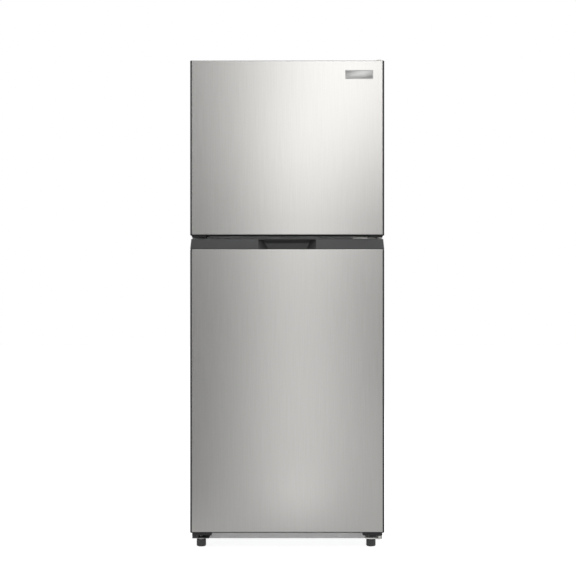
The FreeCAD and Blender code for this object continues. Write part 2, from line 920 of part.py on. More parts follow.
def freezer_frame():
    """Dark edge frame of the freezer door, with hinge bosses, a finger groove and two stops."""
    ring = frame_ring("freezer_ring", "freezer_low", "freezer_high", "freezer_high - top_bar")
    bosses = [
        hinge_boss("freezer_boss_low", "freezer_low + 1", "freezer_low + boss_height"),
        hinge_boss("freezer_boss_high", "freezer_high - boss_height", "freezer_high - 1"),
    ]
    stops = [
        side_block(
            f"freezer_stop_{side}",
            side,
            ("panel_half - stop_length", "panel_half"),
            ("front + panel_fold", "door_back - stop_setback"),
            ("freezer_low - stop_plate", "freezer_low + 1"),
        )
        for side in (-1, 1)
    ]
    grip_wall = block(
        "freezer_grip_wall",
        about("0", "grip_width/2 + grip_wall"),
        ("front + panel_fold", "front + panel_fold + grip_back + grip_wall"),
        ("freezer_low", "freezer_low + grip_depth + grip_wall"),
    )
    grip = block(
        "freezer_grip",
        about("0", "grip_width/2"),
        ("front + panel_fold + grip_wall", "front + panel_fold + grip_back"),
        ("freezer_low - 1", "freezer_low + grip_depth"),
    )
    bores = [
        pin_bore("freezer_bore_low", "freezer_low - stop_plate - 1", "freezer_low + pin_grip + 1"),
        pin_bore("freezer_bore_high", "freezer_high - pin_grip - 1", "freezer_high + 1"),
    ]
    notch = panel_envelope("freezer_notch", "freezer_low + frame_bottom", "freezer_panel_top")
    body = fuse("freezer_frame_body", ring, *bosses, *stops, grip_wall)
    node(cut("freezer_door_frame", body, notch, grip, *bores))
    return bosses + [grip_wall]


def fridge_frame():
    """Dark edge frame of the fridge door: both sides and the bottom, with the lower boss."""
    ring = frame_ring("fridge_ring", "fridge_low", "fridge_panel_top", "fridge_panel_top + 1")
    boss = hinge_boss("fridge_boss_low", "fridge_low + 1", "fridge_low + boss_height")
    bore = pin_bore("fridge_bore_low", "fridge_low - 1", "fridge_low + pin_grip + 1")
    notch = panel_envelope("fridge_notch", "fridge_low + frame_bottom", "fridge_panel_top + 1")
    node(cut("fridge_door_frame", fuse("fridge_frame_body", ring, boss), notch, bore))
    return boss


def handle_cap():
    """The moulded cap on the fridge door: a scooped pocket, a finger slot and a groove behind the face."""
    cap = Piece("handle_cap_form")
    outline = [
        ("-door_half", "fridge_panel_top"),
        ("door_half", "fridge_panel_top"),
        ("door_half - handle_cap_taper", "fridge_high"),
        ("handle_cap_taper - door_half", "fridge_high"),
    ]
    cap.pad("Y", outline, "front + frame_setback", "door_back")
    cap.round_rim("Y", "front + frame_setback", "cap_round")
    cup = block(
        "pocket_cup",
        about("0", "pocket_width/2 + grip_wall"),
        ("front + panel_fold", "front + pocket_depth + cap_wall"),
        ("fridge_panel_top - grip_depth - grip_wall", "fridge_panel_top + 1"),
    )
    scoop = doc.addObject("Part::Loft", "pocket_scoop")
    mouth = pocket_section("pocket_mouth", "front", "pocket_width", "pocket_width")
    rear = pocket_section("pocket_rear", "front + pocket_depth", "pocket_back_top", "pocket_back_bottom")
    scoop.Sections = [mouth, rear]
    scoop.Solid = True
    slot = block(
        "pocket_slot",
        about("0", "pocket_back_top/2 - grip_wall"),
        ("front + pocket_depth - 1", "front + pocket_depth + slot_depth"),
        ("fridge_high - pocket_ceiling - slot_height", "fridge_high - pocket_ceiling"),
    )
    groove = block(
        "pocket_groove",
        about("0", "grip_width/2"),
        ("front + panel_fold + grip_wall", "front + pocket_depth - grip_wall"),
        ("fridge_panel_top - grip_depth", "fridge_panel_top + grip_wall"),
    )
    bore = pin_bore("fridge_bore_high", "fridge_high - pin_grip - 1", "fridge_high + 1")
    outer_ends = {-1: "door_half - handle_cap_taper - cap_wall", 1: "hinge_x - boss_width/2"}
    hollows = [
        side_block(
            f"cap_hollow_{side}",
            side,
            ("pocket_width/2 + cap_margin", outer_ends[side]),
            ("front + cap_wall", "door_back - cap_wall"),
            ("fridge_panel_top - 1", "fridge_high - cap_wall"),
        )
        for side in (-1, 1)
    ]
    body = fuse("handle_cap_body", cap, cup)
    node(cut("handle_cap", body, scoop, slot, groove, bore, *hollows))
    return cup


def pocket_section(name, level, top, bottom):
    """A four cornered section of the pocket, in the plane at level."""
    piece = Piece(name)
    outline = [
        (f"-{bottom}/2", "fridge_panel_top + pocket_floor"),
        (f"{bottom}/2", "fridge_panel_top + pocket_floor"),
        (f"{top}/2", "fridge_high - pocket_ceiling"),
        (f"-{top}/2", "fridge_high - pocket_ceiling"),
    ]
    return piece.drawn("Y", outline, level)


ROOMS = {
    "freezer": ("freezer_floor", "freezer_ceiling"),
    "fridge": ("fridge_floor", "fridge_ceiling"),
}
BIN_LEVELS = {
    "freezer": ["freezer_bin_low", "freezer_bin_high"],
    "fridge": ["fridge_bin_low", "fridge_bin_middle", "fridge_bin_high"],
}
GASKET_ENDS = {
    "freezer": ("freezer_low + gasket_inset", "cabinet_top - gasket_inset/2"),
    "fridge": ("fridge_low + gasket_inset", "fridge_high - gasket_inset"),
}


def dike_outline(room, inset):
    """The outline of the dike, the ridge on a door's liner that enters the cabinet's room."""
    floor, ceiling = ROOMS[room]
    return box_outline(
        (f"{inset} - dike_half", f"{floor} + dike_clearance + {inset}"),
        (f"dike_half - ({inset})", f"{ceiling} - dike_clearance - ({inset})"),
    )


def dike_core(name, room, start):
    """The ring of space inside the dike's wall, from start to below its rounded crest."""
    big = Piece(name + "_outer")
    crest = "door_back + dike_reach - dike_round"
    big.pad("Y", dike_outline(room, "door_liner_wall"), start, crest, corner="liner_corner")
    small = Piece(name + "_inner")
    inner = dike_outline(room, "dike_width - door_liner_wall")
    small.pad("Y", inner, "front + panel_fold", "door_back + dike_reach", corner="liner_corner")
    return cut(name, big, small)


def door_liner(room, sheet_outline):
    """The door's inner skin: a flat sheet with a hollow dike and lugs that hold the bins."""
    form = Piece(room + "_liner_form")
    dike_end = "door_back + dike_reach"
    form.pad("Y", sheet_outline, "door_back - door_liner_wall", "door_back")
    form.pad("Y", dike_outline(room, "0"), "door_back", dike_end, corner="liner_corner")
    form.round_rim("Y", dike_end, "dike_round")
    inside = dike_outline(room, "dike_width")
    form.pocket("Y", inside, "door_back", dike_end, corner="liner_corner")
    form.round_rim("Y", dike_end, "dike_round/2", inside=inside)
    hollow = dike_core(room + "_dike_space", room, "door_back - door_liner_wall - 1")
    lugs = []
    for level in BIN_LEVELS[room]:
        for side in (-1, 1):
            root = f"{side} * (bin_half + bin_clearance + door_liner_wall/2)"
            tip = f"{side} * (bin_half - bin_lug + 2)"
            lug = block(
                f"{room}_lug",
                ordered(root, tip),
                ("door_back - 1", "door_back + dike_reach - lug_setback"),
                (f"{level} - lug_height", level),
            )
            lugs.append(lug)
    hollowed = cut(room + "_liner_hollowed", form, hollow)
    node(fuse(room + "_liner_whole", hollowed, *lugs), room + "_door_liner")


def door_inner(room, low, top, cuts, layer_top):
    """Liner and foam of a door. The foam also fills the dish of the folded front."""
    bottom = f"{low} + frame_bottom"
    sheet_outline = box_outline(("-panel_half", bottom), ("panel_half", top))
    door_liner(room, sheet_outline)
    core = Piece(room + "_foam_core")
    core.pad("Y", sheet_outline, "front + panel_fold", "door_back - door_liner_wall")
    layer = Piece(room + "_foam_layer")
    layer_outline = box_outline(
        ("panel_sheet - panel_half", f"{bottom} + panel_sheet"),
        ("panel_half - panel_sheet", layer_top),
    )
    layer_corner = "panel_corner - panel_sheet"
    layer.pad("Y", layer_outline, "front + panel_sheet", "front + panel_fold", corner=layer_corner)
    dike_foam = dike_core(room + "_dike_foam", room, "door_back - door_liner_wall")
    fill = fuse(room + "_foam_whole", core, layer, dike_foam)
    node(cut(room + "_door_foam", fill, *cuts))


def gasket(room):
    """A magnetic gasket, as one ring that stands on the liner and stops short of the cabinet."""
    made = Piece(room + "_door_gasket")
    low, high = GASKET_ENDS[room]
    face = "door_back + gasket_gap - gasket_face_gap"

    def ring(inset):
        return box_outline(
            (f"gasket_inset + {inset} - door_half", f"{low} + {inset}"),
            (f"door_half - gasket_inset - {inset}", f"{high} - {inset}"),
        )

    made.pad("Y", ring("0"), "door_back", face, corner="gasket_corner")
    made.pocket("Y", ring("gasket_width"), "door_back", face, corner="gasket_corner")
    node(made)


# ---------------------------------------------------------------- door bins and badge


def door_bin(name, low, height):
    """An open tray whose back stands against the door liner, between the two ridges."""
    made = Piece(name)
    back = "door_back + touch_gap"
    outer = box_outline(("-bin_half", back), ("bin_half", "door_back + bin_reach"))
    made.pad("Z", outer, low, f"{low} + {height}")
    inner = box_outline(
        ("bin_wall - bin_half", f"{back} + bin_wall"),
        ("bin_half - bin_wall", "door_back + bin_reach - bin_wall"),
    )
    made.pocket("Z", inner, f"{low} + bin_wall", f"{low} + {height}")
    made.round_corners("Z", inner[2:], "bin_corner - bin_wall")
    made.round_corners("Z", outer[2:], "bin_corner")
    return made


BIN_HEIGHTS = {
    "freezer": ["freezer_bin_height", "freezer_bin_height"],
    "fridge": ["bottle_bin_height", "fridge_bin_height", "fridge_bin_height"],
}


def door_bins(room):
    bins = []
    for n, (level, height) in enumerate(zip(BIN_LEVELS[room], BIN_HEIGHTS[room])):
        bins.append(door_bin(f"{room}_bin_{n}", level, height))
    node(group(room + "_door_bins", *bins))


def badge():
    plate = Piece("badge")
    centre = "freezer_high - badge_drop"
    half_width, half_height = "badge_width/2", "badge_height/2"
    outline = box_outline(
        (f"badge_across - {half_width}", f"{centre} - {half_height}"),
        (f"badge_across + {half_width}", f"{centre} + {half_height}"),
    )
    plate.pad("Y", outline, "front - badge_proud", "front", corner="badge_corner")
    field = box_outline(
        (f"badge_across - {half_width} + badge_rim", f"{centre} - {half_height} + badge_rim"),
        (f"badge_across + {half_width} - badge_rim", f"{centre} + {half_height} - badge_rim"),
    )
    plate.pocket("Y", field, "front - badge_proud", "front - badge_proud + badge_field")
    return node(plate)


# ---------------------------------------------------------------- hinges and their screws

# The screws into the cabinet's front by their x and z, and those into its top by their x and y.
FRONT_SCREWS = [
    ("hinge_x - 68", "gap_middle + 5.75"),
    ("hinge_x - 44", "gap_middle + 5.75"),
    ("leaf_inner + 7", "leaf_top - 7"),
    ("leaf_outer - 9", "leaf_top - 7"),
    ("-(leaf_inner + 7)", "leaf_top - 7"),
    ("-(leaf_outer - 9)", "leaf_top - 7"),
]
TOP_SCREWS = [
    ("hinge_x - 50", "cabinet_front + 30"),
    ("hinge_x - 50", "cabinet_front + 58"),
    ("hinge_x - 12", "cabinet_front + 58"),
]


def screw_holes(name):
    """Shank holes for every screw, as rods to cut away."""
    holes = []
    for n, (x, z) in enumerate(FRONT_SCREWS):
        at = (x, "cabinet_front - 2 * hinge_sheet", z)
        holes.append(rod(f"{name}_front_hole_{n}", "Y", at, "screw_shank", "2 * hinge_sheet + sheet_steel"))
    for n, (x, y) in enumerate(TOP_SCREWS):
        at = (x, y, "cabinet_top - sheet_steel")
        holes.append(rod(f"{name}_top_hole_{n}", "Z", at, "screw_shank", "2 * hinge_sheet + sheet_steel"))
    return holes


def hinge_screws():
    screws = []
    for n, (x, z) in enumerate(FRONT_SCREWS):
        head_at = (x, "cabinet_front - hinge_sheet - screw_cap", z)
        head = rod(f"front_head_{n}", "Y", head_at, "screw_head", "screw_cap")
        shank = rod(f"front_shank_{n}", "Y", head_at, "screw_shank", "screw_cap + hinge_sheet + sheet_steel")
        screws.append(fuse(f"front_screw_{n}", head, shank))
    for n, (x, y) in enumerate(TOP_SCREWS):
        head = rod(f"top_head_{n}", "Z", (x, y, "cabinet_top + hinge_sheet"), "screw_head", "screw_cap")
        at = (x, y, "cabinet_top - sheet_steel")
        shank = rod(f"top_shank_{n}", "Z", at, "screw_shank", "screw_cap + hinge_sheet + sheet_steel")
        screws.append(fuse(f"top_screw_{n}", head, shank))
    node(group("hinge_screws", *screws))


def hinge_pin(name, low, high):
    return rod(name, "Z", ("hinge_x", "hinge_y", low), "pin_radius", f"({high}) - ({low})")


def hinge_arm(name, low, across):
    """A level leaf from the cabinet to the pin, with a round tip on the pin's axis."""
    strip = block(name + "_strip", across, ("hinge_y", "cabinet_front"), (low, f"{low} + hinge_sheet"))
    tip = rod(name + "_tip", "Z", ("hinge_x", "hinge_y", low), "tip_reach - 2", "hinge_sheet")
    return [strip, tip]


def hinge_plate(name, across, levels):
    """A plate screwed flat on the cabinet's front."""
    return block(name, across, ("cabinet_front - hinge_sheet", "cabinet_front"), levels)


def middle_hinge():
    """The hinge in the gap, whose pin holds the top of one door and the foot of the other."""
    across = ("hinge_x - middle_reach", "hinge_x + tip_reach - 2")
    collar_length = "freezer_low - stop_plate - touch_gap - (leaf_low)"
    collar_at = ("hinge_x", "hinge_y", "leaf_low")
    pieces = [
        hinge_plate("middle_plate", across, about("gap_middle", "middle_plate_half")),
        *hinge_arm("middle_arm", "leaf_low", across),
        hinge_pin("middle_pin", "fridge_high - pin_grip", "freezer_low + pin_grip"),
        rod("middle_collar", "Z", collar_at, "pin_radius + collar_wall", collar_length),
    ]
    node(cut("middle_hinge", fuse("middle_hinge_body", *pieces), *screw_holes("middle_hinge")))


def top_hinge():
    """A hinge that steps up from the cabinet's top and reaches over the freezer door."""
    arm = ("hinge_x - tip_reach + 2", "hinge_x + tip_reach - 4")
    level = "freezer_high + arm_rise"
    over = f"{level} + hinge_sheet"
    base_x = ("hinge_x - top_reach", "hinge_x + 8")
    base_front = "cabinet_front + top_base_front"
    base_y = (base_front, "cabinet_front + top_base_back")
    riser_back = f"{base_front} + top_riser"
    pieces = [
        block("top_base", base_x, base_y, ("cabinet_top", "cabinet_top + hinge_sheet")),
        block("top_riser", arm, (base_front, riser_back), ("cabinet_top", over)),
        block("top_arm", arm, ("hinge_y", riser_back), (level, over)),
        rod("top_tip", "Z", ("hinge_x", "hinge_y", level), "tip_reach - 2", "hinge_sheet"),
        hinge_pin("top_pin", "freezer_high - pin_grip", over),
    ]
    node(cut("top_hinge", fuse("top_hinge_body", *pieces), *screw_holes("top_hinge")))


def top_hinge_cover():
    cover = Piece("hinge_cover_form")
    under_cover = "freezer_high + arm_rise + hinge_sheet"
    low_corner = ("hinge_x - top_reach - 6", "cabinet_front + 1")
    high_corner = ("cabinet_half - 1", "cabinet_front + top_base_back + 8")
    outline = box_outline(low_corner, high_corner)
    cover.pad("Z", outline, "cabinet_top", f"{under_cover} + cover_over", corner="cover_corner")
    inside = box_outline(
        tuple(f"{edge} + cover_wall" for edge in low_corner),
        tuple(f"{edge} - cover_wall" for edge in high_corner),
    )
    ceiling = f"{under_cover} + cover_over - cover_wall"
    cover.pocket("Z", inside, "cabinet_top", ceiling, corner="cover_corner - cover_wall")
    mouth = block(
        "hinge_cover_mouth",
        ("hinge_x - tip_reach", "hinge_x + tip_reach - 1.5"),
        ("cabinet_front", "cabinet_front + cover_wall + 2"),
        ("cabinet_top - 1", f"{under_cover} + cover_over/6"),
    )
    node(cut("top_hinge_cover", cover, mouth))


LOW_LEAF = ("leaf_inner", "leaf_outer")


def thread_hole(name, across):
    """The hole in a bottom leaf that a levelling foot's stem is screwed through."""
    at = (across, "foot_y", "leaf_level - 1")
    return rod(name, "Z", at, "stem_radius + thread_play", "2 * hinge_sheet")


def bottom_hinge():
    pieces = [
        hinge_plate("bottom_plate", LOW_LEAF, ("leaf_level", "leaf_top")),
        *hinge_arm("bottom_arm", "leaf_level", LOW_LEAF),
        hinge_pin("bottom_pin", "leaf_level", "fridge_low + pin_grip"),
    ]
    holes = [thread_hole("right_thread", "right_foot_x"), *screw_holes("bottom_hinge")]
    node(cut("bottom_hinge", fuse("bottom_hinge_body", *pieces), *holes))


def left_foot_bracket():
    """The bracket of the left foot: plate, leaf, and a flange with a three cornered window."""
    leaf_front = "front + leaf_setback"
    plate_y = ("cabinet_front - hinge_sheet", "cabinet_front")
    leaf_z = ("leaf_level", "leaf_level + hinge_sheet")
    flange_x = ("leaf_outer - foot_flange_width", "leaf_outer")
    flange_y = (leaf_front, f"{leaf_front} + flange_sheet")
    flange_z = ("leaf_level", "leaf_level + flange_height")
    pieces = [
        side_block("left_plate", -1, LOW_LEAF, plate_y, ("leaf_level", "leaf_top")),
        side_block("left_leaf", -1, LOW_LEAF, (leaf_front, "cabinet_front"), leaf_z),
        side_block("left_flange", -1, flange_x, flange_y, flange_z),
    ]
    window = Piece("left_window")
    corners = [
        ("window_inset - leaf_outer", "leaf_level + window_rise"),
        ("window_inset + window_width - leaf_outer", "leaf_level + window_rise"),
        ("window_inset + window_width/2 - leaf_outer", "leaf_level + window_rise + window_height"),
    ]
    window.pad("Y", corners, f"{leaf_front} - 1", f"{leaf_front} + flange_sheet + 1")
    holes = [thread_hole("left_thread", "left_foot_x"), *screw_holes("left_bracket")]
    node(cut("left_foot_bracket", fuse("left_bracket_body", *pieces), window, *holes))


def door_closers():
    """Under the fridge door: a stop at its free end, and the closing cam around the pin."""
    depth = ("front + closer_front", "front + closer_back")
    across = ("panel_half - 1 - closer_length", "panel_half - 1")
    levels = ("fridge_low - closer_height", "fridge_low")
    stop = side_block("free_stop", -1, across, depth, levels)
    ring_at = ("hinge_x", "hinge_y", "fridge_low - cam_drop + 2")
    tab_x = ("hinge_x - 32", "hinge_x - 9")
    tab_z = ("fridge_low - cam_drop", "fridge_low - closer_height + 1")
    cam = [
        block("cam_strip", across, depth, levels),
        block("cam_tab", tab_x, ("front + 10", "front + 30"), tab_z),
        rod("cam_ring", "Z", ring_at, "pin_radius + cam_wall", "cam_drop - 2"),
    ]
    bore = pin_bore("cam_bore", "fridge_low - cam_drop + 1", "fridge_low + 1")
    node(group("fridge_door_closers", stop, cut("door_cam", fuse("door_cam_body", *cam), bore)))


# ---------------------------------------------------------------- feet, rollers and machinery


def feet():
    for label, across in (("foot_left", "left_foot_x"), ("foot_right", "right_foot_x")):
        at = (across, "foot_y")
        pad = Piece(label + "_pad")
        pad.pad("Z", (at, "foot_radius"), "0", "foot_height")
        pad.round_rim("Z", "0", "foot_round")
        nut = rod(label + "_nut", "Z", (*at, "foot_height"), "nut_radius", "nut_height")
        stem_length = "leaf_level + hinge_sheet + stem_over - foot_height"
        stem = rod(label + "_stem", "Z", (*at, "foot_height"), "stem_radius", stem_length)
        node(fuse(label, pad, nut, stem))


def rollers():
    brackets = []
    for side, label in ((-1, "roller_left"), (1, "roller_right")):
        inner = "roller_spread - roller_width/2 - roller_side_play"
        outer = "roller_spread + roller_width/2 + roller_side_play"
        cheek_y = about("roller_y", "fork_half")
        cheek_z = ("roller_radius - fork_half + 4", "plate_top - bracket_sheet")
        cheeks = [
            side_block(f"{label}_cheek_0", side, (f"{inner} - bracket_sheet", inner), cheek_y, cheek_z),
            side_block(f"{label}_cheek_1", side, (outer, f"{outer} + bracket_sheet"), cheek_y, cheek_z),
        ]
        reach = "roller_width/2 + roller_side_play + bracket_sheet + 2"
        start = (f"{side} * roller_spread - ({reach})", "roller_y", "roller_radius")
        axle = rod(f"{label}_axle", "X", start, "axle_radius", f"2 * ({reach})")
        brackets.append(fuse(f"{label}_fork", *cheeks, axle))
        wheel = Piece(label)
        low, high = about(f"{side} * roller_spread", "roller_width/2")
        wheel.pad("X", (("roller_y", "roller_radius"), "roller_radius"), low, high)
        wheel.round_rim("X", low, "roller_round")
        wheel.round_rim("X", high, "roller_round")
        wheel.pocket("X", (("roller_y", "roller_radius"), "axle_radius + axle_play"), low, high)
        node(wheel)
    node(group("roller_brackets", *brackets))


COMPRESSOR_X = "-compressor_across"
COMPRESSOR_Y = "(machine_front + cabinet_back)/2"
MOTOR_LOW = "plate_top + grommet_height"


def compressor_plate():
    """The plate across the compartment that carries the compressor and the drip pan."""
    across = about("0", "cabinet_half - sheet_steel")
    back = "cabinet_back - plate_setback"
    under = "plate_top - bracket_sheet"
    floor = block("plate_floor", across, ("machine_front", back), (under, "plate_top"))
    rim_y = (f"{back} - bracket_sheet", back)
    rim = block("plate_rim", across, rim_y, (under, "plate_top + plate_rim"))
    node(fuse("compressor_plate", floor, rim))


def compressor():
    """A domed can with a seam, on a saddle with rubber feet, and the cover of its relay."""
    can = Piece("compressor_can")
    low, high = f"{MOTOR_LOW} + 2", f"{MOTOR_LOW} + compressor_height"
    can.pad("Z", ((COMPRESSOR_X, COMPRESSOR_Y), "compressor_radius"), low, high)
    can.round_rim("Z", high, "compressor_dome")
    can.round_rim("Z", low, "compressor_base")
    seam_at = (COMPRESSOR_X, COMPRESSOR_Y, f"{MOTOR_LOW} + seam_level")
    stub_x = f"{COMPRESSOR_X} - stub_reach"
    discharge_at = (stub_x, COMPRESSOR_Y, f"{MOTOR_LOW} + discharge_level")
    suction_at = (stub_x, f"{COMPRESSOR_Y} - suction_offset", f"{MOTOR_LOW} + suction_level")
    pieces = [
        can,
        rod("compressor_seam", "Z", seam_at, "compressor_radius + seam_proud", "seam_height"),
        block(
            "compressor_saddle",
            about(COMPRESSOR_X, "saddle_half_width"),
            about(COMPRESSOR_Y, "saddle_half_depth"),
            (MOTOR_LOW, f"{MOTOR_LOW} + saddle_sheet"),
        ),
        rod("compressor_post", "Z", (COMPRESSOR_X, COMPRESSOR_Y, MOTOR_LOW), "45", "12"),
        rod("discharge_stub", "X", discharge_at, "stub_radius", "stub_reach/2"),
        rod("suction_stub", "X", suction_at, "stub_radius", "stub_reach/2"),
    ]
    whole = node(fuse("compressor", *pieces))
    grommets = []
    for i in (-1, 1):
        for j in (-1, 1):
            at = (
                f"{COMPRESSOR_X} + {i} * grommet_across",
                f"{COMPRESSOR_Y} + {j} * grommet_along",
                "plate_top",
            )
            grommets.append(rod("grommet", "Z", at, "grommet_radius", "grommet_height"))
    node(group("compressor_grommets", *grommets))
    relay = block(
        "relay_block",
        (f"{COMPRESSOR_X} + relay_start", f"{COMPRESSOR_X} + relay_end"),
        about(COMPRESSOR_Y, "relay_half"),
        (f"{MOTOR_LOW} + relay_low", f"{MOTOR_LOW} + relay_high"),
    )
    node(cut("relay_cover", relay, whole))


def drip_pan():
    pan = Piece("drip_pan")
    low_corner = ("pan_left", "machine_front + pan_front_gap")
    high_corner = ("pan_right", "cabinet_back - pan_back_gap")
    rim = "plate_top + pan_height"
    outline = box_outline(low_corner, high_corner)
    pan.pad("Z", outline, "plate_top", rim)
    inside = box_outline(
        tuple(f"{edge} + pan_wall" for edge in low_corner),
        tuple(f"{edge} - pan_wall" for edge in high_corner),
    )
    pan.pocket("Z", inside, "plate_top + pan_wall", rim, corner="pan_corner - pan_wall")
    pan.round_corners("Z", outline, "pan_corner")
    node(pan)


def refrigerant_pipes():
    """The hot pipe with its drier, out to the condenser, and the wider cold pipe into the wall."""
    stub = value(f"{COMPRESSOR_X} - stub_reach")
    middle = value(COMPRESSOR_Y)
    edge = -value("condenser_width/2")
    behind = value("condenser_y")
    hot_level = value(f"{MOTOR_LOW} + discharge_level")
    hot = [
        Vector(stub, middle, hot_level),
        Vector(edge, middle, hot_level),
        Vector(edge, behind, hot_level),
        Vector(edge, behind, value("condenser_low - tail_length")),
    ]
    cold_level = value(f"{MOTOR_LOW} + suction_level")
    cold_y = middle - value("suction_offset")
    turn = stub - value("suction_run")
    cold = [
        Vector(stub, cold_y, cold_level),
        Vector(turn, cold_y, cold_level),
        Vector(turn, value("machine_front"), cold_level),
    ]
    bend = value("pipe_bend")
    drier_x = f"{COMPRESSOR_X} - stub_reach - drier_length - drier_radius - 3"
    drier_at = (drier_x, COMPRESSOR_Y, f"{MOTOR_LOW} + discharge_level")
    drier = rod("drier", "X", drier_at, "drier_radius", "drier_length")
    hot_pipe = fuse("discharge_pipe", tube("discharge_tube", hot, value("condenser_tube"), bend), drier)
    cold_pipe = tube("suction_tube_run", cold, value("suction_tube"), bend)
    node(group("refrigerant_pipes", hot_pipe, cold_pipe))


CONDENSER_RUNS = 12


def wire_condenser():
    """A serpentine tube with upright wires welded to its outer side, and its clips."""
    half = value("condenser_width/2")
    behind = value("condenser_y")
    low, pitch = value("condenser_low"), value("condenser_pitch")
    tail = Vector(-half, behind, low - value("tail_length"))
    points = [tail] + serpentine(behind, half, low, pitch, CONDENSER_RUNS)
    end = points[-1]
    points.append(Vector(end.x, value("cabinet_back"), end.z))
    pipe = tube("condenser_pipe", points, value("condenser_tube"), value("bend_condenser"))
    wires = []
    count = 2 * int(half // value("wire_pitch")) - 1
    wire_length = f"{CONDENSER_RUNS - 1} * condenser_pitch + 2 * wire_over"
    outer_side = "condenser_y + condenser_tube + condenser_wire - weld_sink"
    for n in range(count):
        at = (f"{n - count // 2} * wire_pitch", outer_side, "condenser_low - wire_over")
        wires.append(rod("wire", "Z", at, "condenser_wire", wire_length))
    node(fuse("wire_condenser", pipe, *wires))
    clips = []
    for run in (1, CONDENSER_RUNS - 2):
        level = f"condenser_low + {run} * condenser_pitch"
        for side in (-1, 1):
            name = f"clip_{run}_{side}"
            inner = "condenser_width/2 - clip_inset - clip_width"
            outer = "condenser_width/2 - clip_inset"
            depth = ("cabinet_back", "condenser_y")
            clip = side_block(name + "_block", side, (inner, outer), depth, about(level, "clip_half"))
            groove_at = ("-condenser_width/2", "condenser_y", level)
            groove = rod(name + "_groove", "X", groove_at, "condenser_tube", "condenser_width")
            clips.append(cut(name, clip, groove))
    node(group("condenser_mounts", *clips))


# ---------------------------------------------------------------- freezer room


THROUGH_COVER = ("cover_face - 1", "cover_face + cover_sheet + 1")


def evaporator_cover():
    """The panel in front of the cold parts: fan grille, air intakes and the slider's slot."""
    cover = Piece("evaporator_panel")
    outline = box_outline(("-cavity_half", "freezer_floor"), ("cavity_half", "freezer_ceiling"))
    face = ("cover_face", "cover_face + cover_sheet")
    cover.pad("Y", outline, *face, corner="liner_corner")
    cover.pocket("Y", (("0", "fan_height"), "fan_radius + fan_gap"), *face)
    slots = []
    for n in range(-5, 6):
        across = about(f"{n} * intake_pitch", "intake_half")
        levels = ("freezer_floor + intake_low", "freezer_floor + intake_high")
        slots.append(block("intake", across, THROUGH_COVER, levels))
    slider_x = about("0", "slider_travel + slot_margin")
    slots.append(block("slider_slot", slider_x, THROUGH_COVER, about("slider_level", "slot_half")))
    grille = []
    for n in range(-3, 4):
        across = about("0", "fan_radius + grille_margin")
        levels = about(f"fan_height + {n} * grille_pitch", "grille_bar/2")
        grille.append(block("grille_bar", across, ("cover_face", "cover_face + grille_depth"), levels))
    node(fuse("evaporator_cover", cut("evaporator_panel_cut", cover, *slots), *grille))


def freezer_slider():
    """The air slider: a knob in front of the cover, a stem in its slot and a keeper behind."""
    knob = block(
        "slider_knob",
        about("0", "knob_half_width"),
        ("cover_face - touch_gap - knob_depth", "cover_face - touch_gap"),
        about("slider_level", "knob_half_height"),
    )
    stem = block("slider_stem", ("-4", "4"), THROUGH_COVER, about("slider_level", "slot_half - touch_gap"))
    behind = "cover_face + cover_sheet + touch_gap"
    keeper = block(
        "slider_keeper",
        about("0", "keeper_half_width"),
        (behind, f"{behind} + keeper_sheet"),
        about("slider_level", "keeper_half_height"),
    )
    node(fuse("freezer_slider", knob, stem, keeper))


def evaporator():
    """A tube that runs to and fro through upright fins, with a defrost heater under it."""
    fins = []
    count = int(value("fin_span") // value("fin_pitch"))
    fin_back = "cavity_back - evaporator_back"
    levels = ("fin_low", "fin_low + fin_height")
    for n in range(count + 1):
        across = about(f"{n} * fin_span/{count} - fin_span/2", "fin_sheet/2")
        back = "cavity_back" if n in (0, count) else fin_back
        fins.append(block("fin", across, (f"{fin_back} - fin_depth", back), levels))
    middle = f"{fin_back} - fin_depth/2"
    reach = value("fin_span/2 + evaporator_overhang")
    lowest = value("fin_low + evaporator_rise")
    coil = serpentine(value(middle), reach, lowest, value("evaporator_pitch"), 5)
    bend = value("evaporator_pitch/2 - 0.5")
    node(fuse("evaporator", tube("evaporator_pipe", coil, value("evaporator_tube"), bend), *fins))

    level = "freezer_floor + heater_rise"
    heater = rod("heater_tube", "X", ("-fin_span/2", middle, level), "heater_radius", "fin_span")
    holders = []
    for side in (-1, 1):
        across = ("fin_span/2 - heater_holder", "fin_span/2 + heater_holder/2")
        depth = (f"{middle} - heater_holder", "cavity_back")
        holders.append(side_block("heater_holder_block", side, across, depth, about(level, "heater_holder")))
    node(fuse("defrost_heater", heater, *holders))


